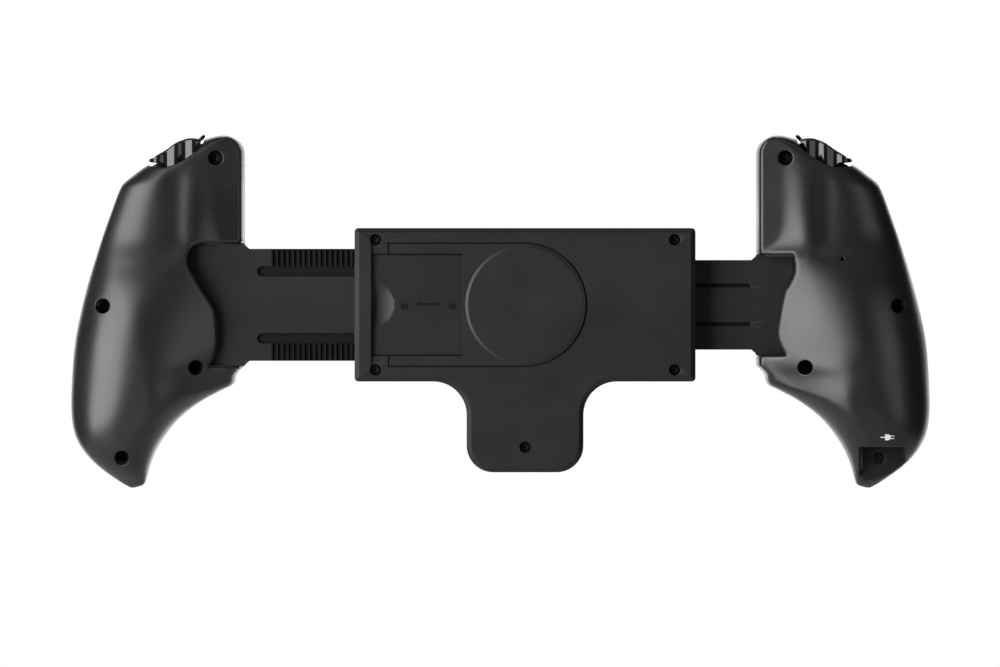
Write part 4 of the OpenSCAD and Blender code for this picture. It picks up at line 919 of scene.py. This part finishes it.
class CONTROLLER_OT_arms(bpy.types.Operator):
    """Dress the toothed arm and the smooth arm"""

    bl_idname = "controller.arms"
    bl_label = "Arms"

    def execute(self, context):
        dress(["toothed_arm"], rack_plastic_with_painted_shade(), 0.15)
        dress(["smooth_arm"], arm_plastic(), 0.15)
        # Dark sheets on the slot floors of both arms: painted shade in the slots
        for side, arm in ARMS.items():
            (start, end), y = arm["slot_ends"], arm["slot_floor"]
            middle, half, r = (start + end) / 2, (end - start) / 2 - FIT, arm["slot_h"] / 2 - FIT
            outlines = [pill((middle, sign * arm["slot_z"]), half, r)[:-1] for sign in (-1, 1)]
            verts, faces = joined([plate(line, y + GROOVE_SINK, y - GROOVE_RISE) for line in outlines])
            add_piece(f"{arm['node']}_groove_floors", verts * MM, faces, engraving(), f"{side}_handle")
        return {"FINISHED"}


class CONTROLLER_OT_controls(bpy.types.Operator):
    """Dress the buttons, keys, direction pad and sticks"""

    bl_idname = "controller.controls"
    bl_label = "Controls"

    def execute(self, context):
        buttons = ["home_button", "previous_key", "play_key", "next_key", "volume_down_key", "volume_up_key",
                   "face_button_top", "face_button_right", "face_button_bottom", "face_button_left",
                   "start_button", "select_button", "dpad"]
        dress(buttons, button_plastic(), 0.3)
        dress(["right_stick", "left_stick"], button_plastic())
        dress(["right_stick_cap", "left_stick_cap"], soft_rubber(), 0.2)
        return {"FINISHED"}


def shoulder_button():
    """Shoulder button with rounds along its edges."""
    line = np.array(SHOULDER + SHOULDER[:1], float)
    y0, y1, r = SHOULDER_FRONT, TRIGGER_FRONT + SHOULDER_GAP, SHOULDER_ROUND
    ends = [(r * (1 - math.sin(t)), r * (1 - math.cos(t))) for t in np.linspace(0, math.pi / 2, 5)]
    rows = [(inset, y0 - rise) for inset, rise in ends] + [(inset, y1 + rise) for inset, rise in ends[::-1]]
    plans = [(shifted(line, -inset, line)[:-1], y) for inset, y in rows]
    return loft([np.stack([p[:, 0], np.full(len(p), y), p[:, 1]], 1) for p, y in plans])


def trigger():
    """Polished trigger with a fluted back, between its top line and its foot."""
    sections, turns = [], np.linspace(0, math.pi / 2, 7)
    for u in np.linspace(TRIGGER_TOP[0][0] + FIT, TRIGGER_TOP[-1][0] - FIT, 72):
        top, foot = (float(curve(line, u)) for line in (TRIGGER_TOP, TRIGGER_FOOT))
        wave = math.cos((u - FLUTE_START) / FLUTE_PITCH * 2 * math.pi)
        back = TRIGGER_BACK + FLUTE_D * (0.5 - 0.5 * wave)
        r = min(TRIGGER_ROUND, (top - foot) / 3)
        bend = [(back + r * (1 - math.cos(t)), top - r * (1 - math.sin(t))) for t in turns]
        near = [(TRIGGER_FRONT - TRIGGER_CHAMFER, top), (TRIGGER_FRONT, top - TRIGGER_CHAMFER),
                (TRIGGER_FRONT, foot), (back, foot)]
        sections.append(np.array([(u, y, z) for y, z in bend + near]))
    return loft(sections)


class CONTROLLER_OT_triggers(bpy.types.Operator):
    """Build the polished triggers and shoulder buttons"""

    bl_idname = "controller.triggers"
    bl_label = "Triggers"

    def execute(self, context):
        for kind, (verts, faces) in (("trigger", trigger()), ("shoulder_button", shoulder_button())):
            for side in ("right", "left"):
                name = f"{side}_{kind}"
                piece = add_piece(f"{name}_skin", to_frame(side, verts), faces, gloss_black(), name,
                                  sharp=50)
                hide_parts(name)
        return {"FINISHED"}


def arc(middle, r, start, stop, count=14):
    """Points on an arc between two angles in degrees."""
    turn = np.radians(np.linspace(start, stop, count))
    return np.stack([middle[0] + r * np.cos(turn), middle[1] + r * np.sin(turn)], 1)


def padlock(x, z, swing):
    """Sign of a padlock with its shackle moved sideways by swing."""
    body = np.array([(-1.1, -1.3), (1.1, -1.3), (1.1, 0.3), (-1.1, 0.3)]) + (x, z)
    middle = (x + swing, z + 0.6)
    foot = np.array([[0.75, -0.35]])
    outer = np.concatenate([foot + middle, arc(middle, 0.75, 0, 180), foot * (-1, 0.3) + middle])
    inner = np.concatenate([foot * (-0.6, 0.3) + middle, arc(middle, 0.45, 180, 0), foot * (0.6, 1) + middle])
    return [body, np.concatenate([outer, inner])]


def double_arrow(x, z, half, h, head=1.6):
    """Sign of an arrow with two heads."""
    neck, shaft = half - head, 0.4 * h
    right = [(neck, -shaft), (neck, -h), (half, 0), (neck, h), (neck, shaft)]
    return np.array(right + [(-a, -b) for a, b in right]) + (x, z)


class CONTROLLER_OT_marks(bpy.types.Operator):
    """Add the lock signs on the slider and the charging sign on the left grip"""

    bl_idname = "controller.marks"
    bl_label = "Signs"

    def execute(self, context):
        signs = [*padlock(*OPEN_LOCK, -1.0), double_arrow(*LOCK_ARROW, 4.1, 0.95),
                 *padlock(*CLOSED_LOCK, 0.0)]
        # The signs are drawn in a dark colour of painted shade, which stands in for the shade in engraved
        # lines
        verts, faces = joined([plate(sign, SLIDER_BACK + FIT, SLIDER_BACK - SIGN_RISE) for sign in signs])
        add_piece("lock_signs", verts * MM, faces, engraving(), "lock_slider", sharp=30)
        parts = []
        for outline in CHARGE_SIGN:
            line = np.array(outline) + CHARGE_SPOT
            skin_y = back_y(line[:, 0], line[:, 1])
            levels = (skin_y + CHARGE_SINK, skin_y - CHARGE_RISE)
            parts.append(loft([np.stack([line[:, 0], y, line[:, 1]], 1) for y in levels]))
        verts, faces = joined(parts)
        add_piece("charge_sign", to_frame("left", verts), faces, printed_mark(), "left_handle",
                  sharp=30)
        return {"FINISHED"}


class CONTROLLER_OT_pads(bpy.types.Operator):
    """Dress the rubber pads that hold the device"""

    bl_idname = "controller.pads"
    bl_label = "Pads"

    def execute(self, context):
        dress(["device_rest_pad", "right_device_pad", "left_device_pad"], soft_rubber(), 0.15)
        return {"FINISHED"}


class CONTROLLER_OT_inner_parts(bpy.types.Operator):
    """Dress the pieces inside the shells"""

    bl_idname = "controller.inner_parts"
    bl_label = "Inner parts"

    def execute(self, context):
        board = finish("board_lacquer", (0.01, 0.09, 0.035), 0.35, grain=600.0)
        dress(["tab_circuit_board", "right_circuit_board", "left_circuit_board", "usb_board"], board)
        mat = finish("mat_silicone", (0.3, 0.31, 0.32), 0.6)
        dress(["tab_key_mat", "right_key_mat", "left_key_mat"], mat)
        dress(["clamp_spring", "usb_socket", "right_shoulder_pin", "left_shoulder_pin", "right_stick_yoke",
               "left_stick_yoke", "dpad_pivot"], bright_steel())
        dress(["lock_pawl"], finish("pawl_nylon", (0.55, 0.55, 0.53), 0.5))
        dress(["right_stick_base", "left_stick_base", "dpad_base"], arm_plastic())
        dress(["battery"], finish("battery_foil", (0.35, 0.37, 0.39), 0.3, grain=400.0, Metallic=0.6))
        return {"FINISHED"}


def mirrored_rays(tree, path):
    """Output that is 1 for rays that a surface mirrors or lets through, and 0 for the others."""
    return combined(tree, "MAXIMUM", path.outputs["Is Glossy Ray"], path.outputs["Is Transmission Ray"])


def area_light(name, power, size, place):
    """Rectangular lamp that points at the middle of the scene."""
    data = bpy.data.lights.new(name, "AREA")
    data.shape = "RECTANGLE"
    data.size, data.size_y = size
    data.energy = power
    lamp = bpy.data.objects.new(name, data)
    lamp.location = place
    lamp.rotation_euler = (Vector() - Vector(place)).to_track_quat("-Z", "Y").to_euler()
    bpy.context.scene.collection.objects.link(lamp)


class CONTROLLER_OT_stage(bpy.types.Operator):
    """Set the floor, the studio light and the camera"""

    bl_idname = "controller.stage"
    bl_label = "Stage"

    def execute(self, context):
        stage = settings().stage
        scene = context.scene
        scene.view_settings.view_transform = "Standard"
        self.floor(stage)
        self.world(scene)
        for name, (size, place) in LAMPS.items():
            area_light(f"{name}_light", getattr(stage, name), size, place)
        lens = bpy.data.cameras.new("camera")
        lens.lens = stage.lens
        lens.sensor_width = SENSOR_WIDTH
        camera = bpy.data.objects.new("camera", lens)
        x, y, z = CAMERA_OFFSET
        camera.location = (x, y - stage.distance, z)
        camera.rotation_euler = (math.pi / 2, 0, 0)
        scene.collection.objects.link(camera)
        scene.camera = camera
        return {"FINISHED"}

    def floor(self, stage):
        """Round floor that the camera and mirrored rays see fading into white."""
        mesh = bpy.data.meshes.new("floor")
        outline = circle((0, 0), stage.floor_size, FLOOR_SIDES)[:-1]
        mesh.from_pydata([(x, y, 0) for x, y in outline], [], [tuple(range(FLOOR_SIDES))])
        floor = bpy.data.objects.new("floor", mesh)
        floor.location.z = CAD_BOX[0][2] - stage.floor_drop
        bpy.context.scene.collection.objects.link(floor)
        paper = finish("floor_paper", stage.floor, 0.8, tint=1.02)
        tree = paper.node_tree
        glow = tree.nodes.new("ShaderNodeEmission")
        path = tree.nodes.new("ShaderNodeLightPath")
        place = tree.nodes.new("ShaderNodeTexCoord")
        reach = tree.nodes.new("ShaderNodeVectorMath")
        reach.operation = "LENGTH"
        fade = tree.nodes.new("ShaderNodeMapRange")
        fade.interpolation_type = "SMOOTHSTEP"
        near, far = FLOOR_FADE
        fade.inputs["From Min"].default_value = stage.floor_size * near
        fade.inputs["From Max"].default_value = stage.floor_size * far
        fade.inputs["To Min"].default_value = FLOOR_SHOWN
        mix = tree.nodes.new("ShaderNodeMixShader")
        link = tree.links.new
        link(place.outputs["Object"], reach.inputs[0])
        link(reach.outputs["Value"], fade.inputs["Value"])
        shown = combined(tree, "MULTIPLY", path.outputs["Is Camera Ray"], fade.outputs["Result"])
        mirrored = combined(tree, "MULTIPLY", mirrored_rays(tree, path), FLOOR_MIRRORED)
        link(combined(tree, "MAXIMUM", shown, mirrored), mix.inputs["Fac"])
        link(tree.nodes["Principled BSDF"].outputs["BSDF"], mix.inputs[1])
        link(glow.outputs["Emission"], mix.inputs[2])
        link(mix.outputs["Shader"], tree.nodes["Material Output"].inputs["Surface"])
        mesh.materials.append(paper)

    def world(self, scene):
        """Weak light from all round, with a white backdrop for the camera and for mirrored rays."""
        world = bpy.data.worlds.new("studio")
        scene.world = world
        world.use_nodes = True
        tree = world.node_tree
        room = tree.nodes["Background"]
        room.inputs["Color"].default_value = (1, 1, 1, 1)
        room.inputs["Strength"].default_value = settings().stage.room
        white = tree.nodes.new("ShaderNodeBackground")
        white.inputs["Color"].default_value = (1, 1, 1, 1)
        path = tree.nodes.new("ShaderNodeLightPath")
        place = tree.nodes.new("ShaderNodeTexCoord")
        axes = tree.nodes.new("ShaderNodeSeparateXYZ")
        behind = tree.nodes.new("ShaderNodeMapRange")
        behind.inputs["From Min"].default_value, behind.inputs["From Max"].default_value = BACKDROP_EDGE
        mix = tree.nodes.new("ShaderNodeMixShader")
        link = tree.links.new
        link(place.outputs["Generated"], axes.inputs["Vector"])
        link(axes.outputs["Y"], behind.inputs["Value"])
        backdrop = combined(tree, "MULTIPLY", mirrored_rays(tree, path), behind.outputs["Result"])
        link(combined(tree, "MAXIMUM", path.outputs["Is Camera Ray"], backdrop), mix.inputs["Fac"])
        link(room.outputs["Background"], mix.inputs[1])
        link(white.outputs["Background"], mix.inputs[2])
        link(mix.outputs["Shader"], tree.nodes["World Output"].inputs["Surface"])


class CONTROLLER_PT_looks(bpy.types.Panel):
    """Lists the operators and settings"""

    bl_label = "Controller"
    bl_space_type = "VIEW_3D"
    bl_region_type = "UI"
    bl_category = "Controller"

    def draw(self, context):
        looks = settings()
        for group in (looks.grips, looks.finishes, looks.stage):
            part = self.layout.box()
            for name in group.bl_rna.properties.keys():
                if name not in ("rna_type", "name"):
                    part.prop(group, name)
        for step in STEPS:
            self.layout.operator(step.bl_idname)


STEPS = (CONTROLLER_OT_grip_backs, CONTROLLER_OT_grip_faces, CONTROLLER_OT_middle_block, CONTROLLER_OT_arms,
         CONTROLLER_OT_controls, CONTROLLER_OT_triggers, CONTROLLER_OT_marks, CONTROLLER_OT_pads,
         CONTROLLER_OT_inner_parts, CONTROLLER_OT_stage)
CLASSES = (GripSettings, FinishSettings, StageSettings, ControllerLooks, *STEPS, CONTROLLER_PT_looks)


def register():
    for kind in CLASSES:
        bpy.utils.register_class(kind)
    bpy.types.Scene.controller_looks = PointerProperty(type=ControllerLooks)


def unregister():
    del bpy.types.Scene.controller_looks
    for kind in reversed(CLASSES):
        bpy.utils.unregister_class(kind)


def main():
    """Runs all steps."""
    register()
    for step in STEPS:
        group, name = step.bl_idname.split(".")
        getattr(getattr(bpy.ops, group), name)()


if __name__ == "__main__":
    main()
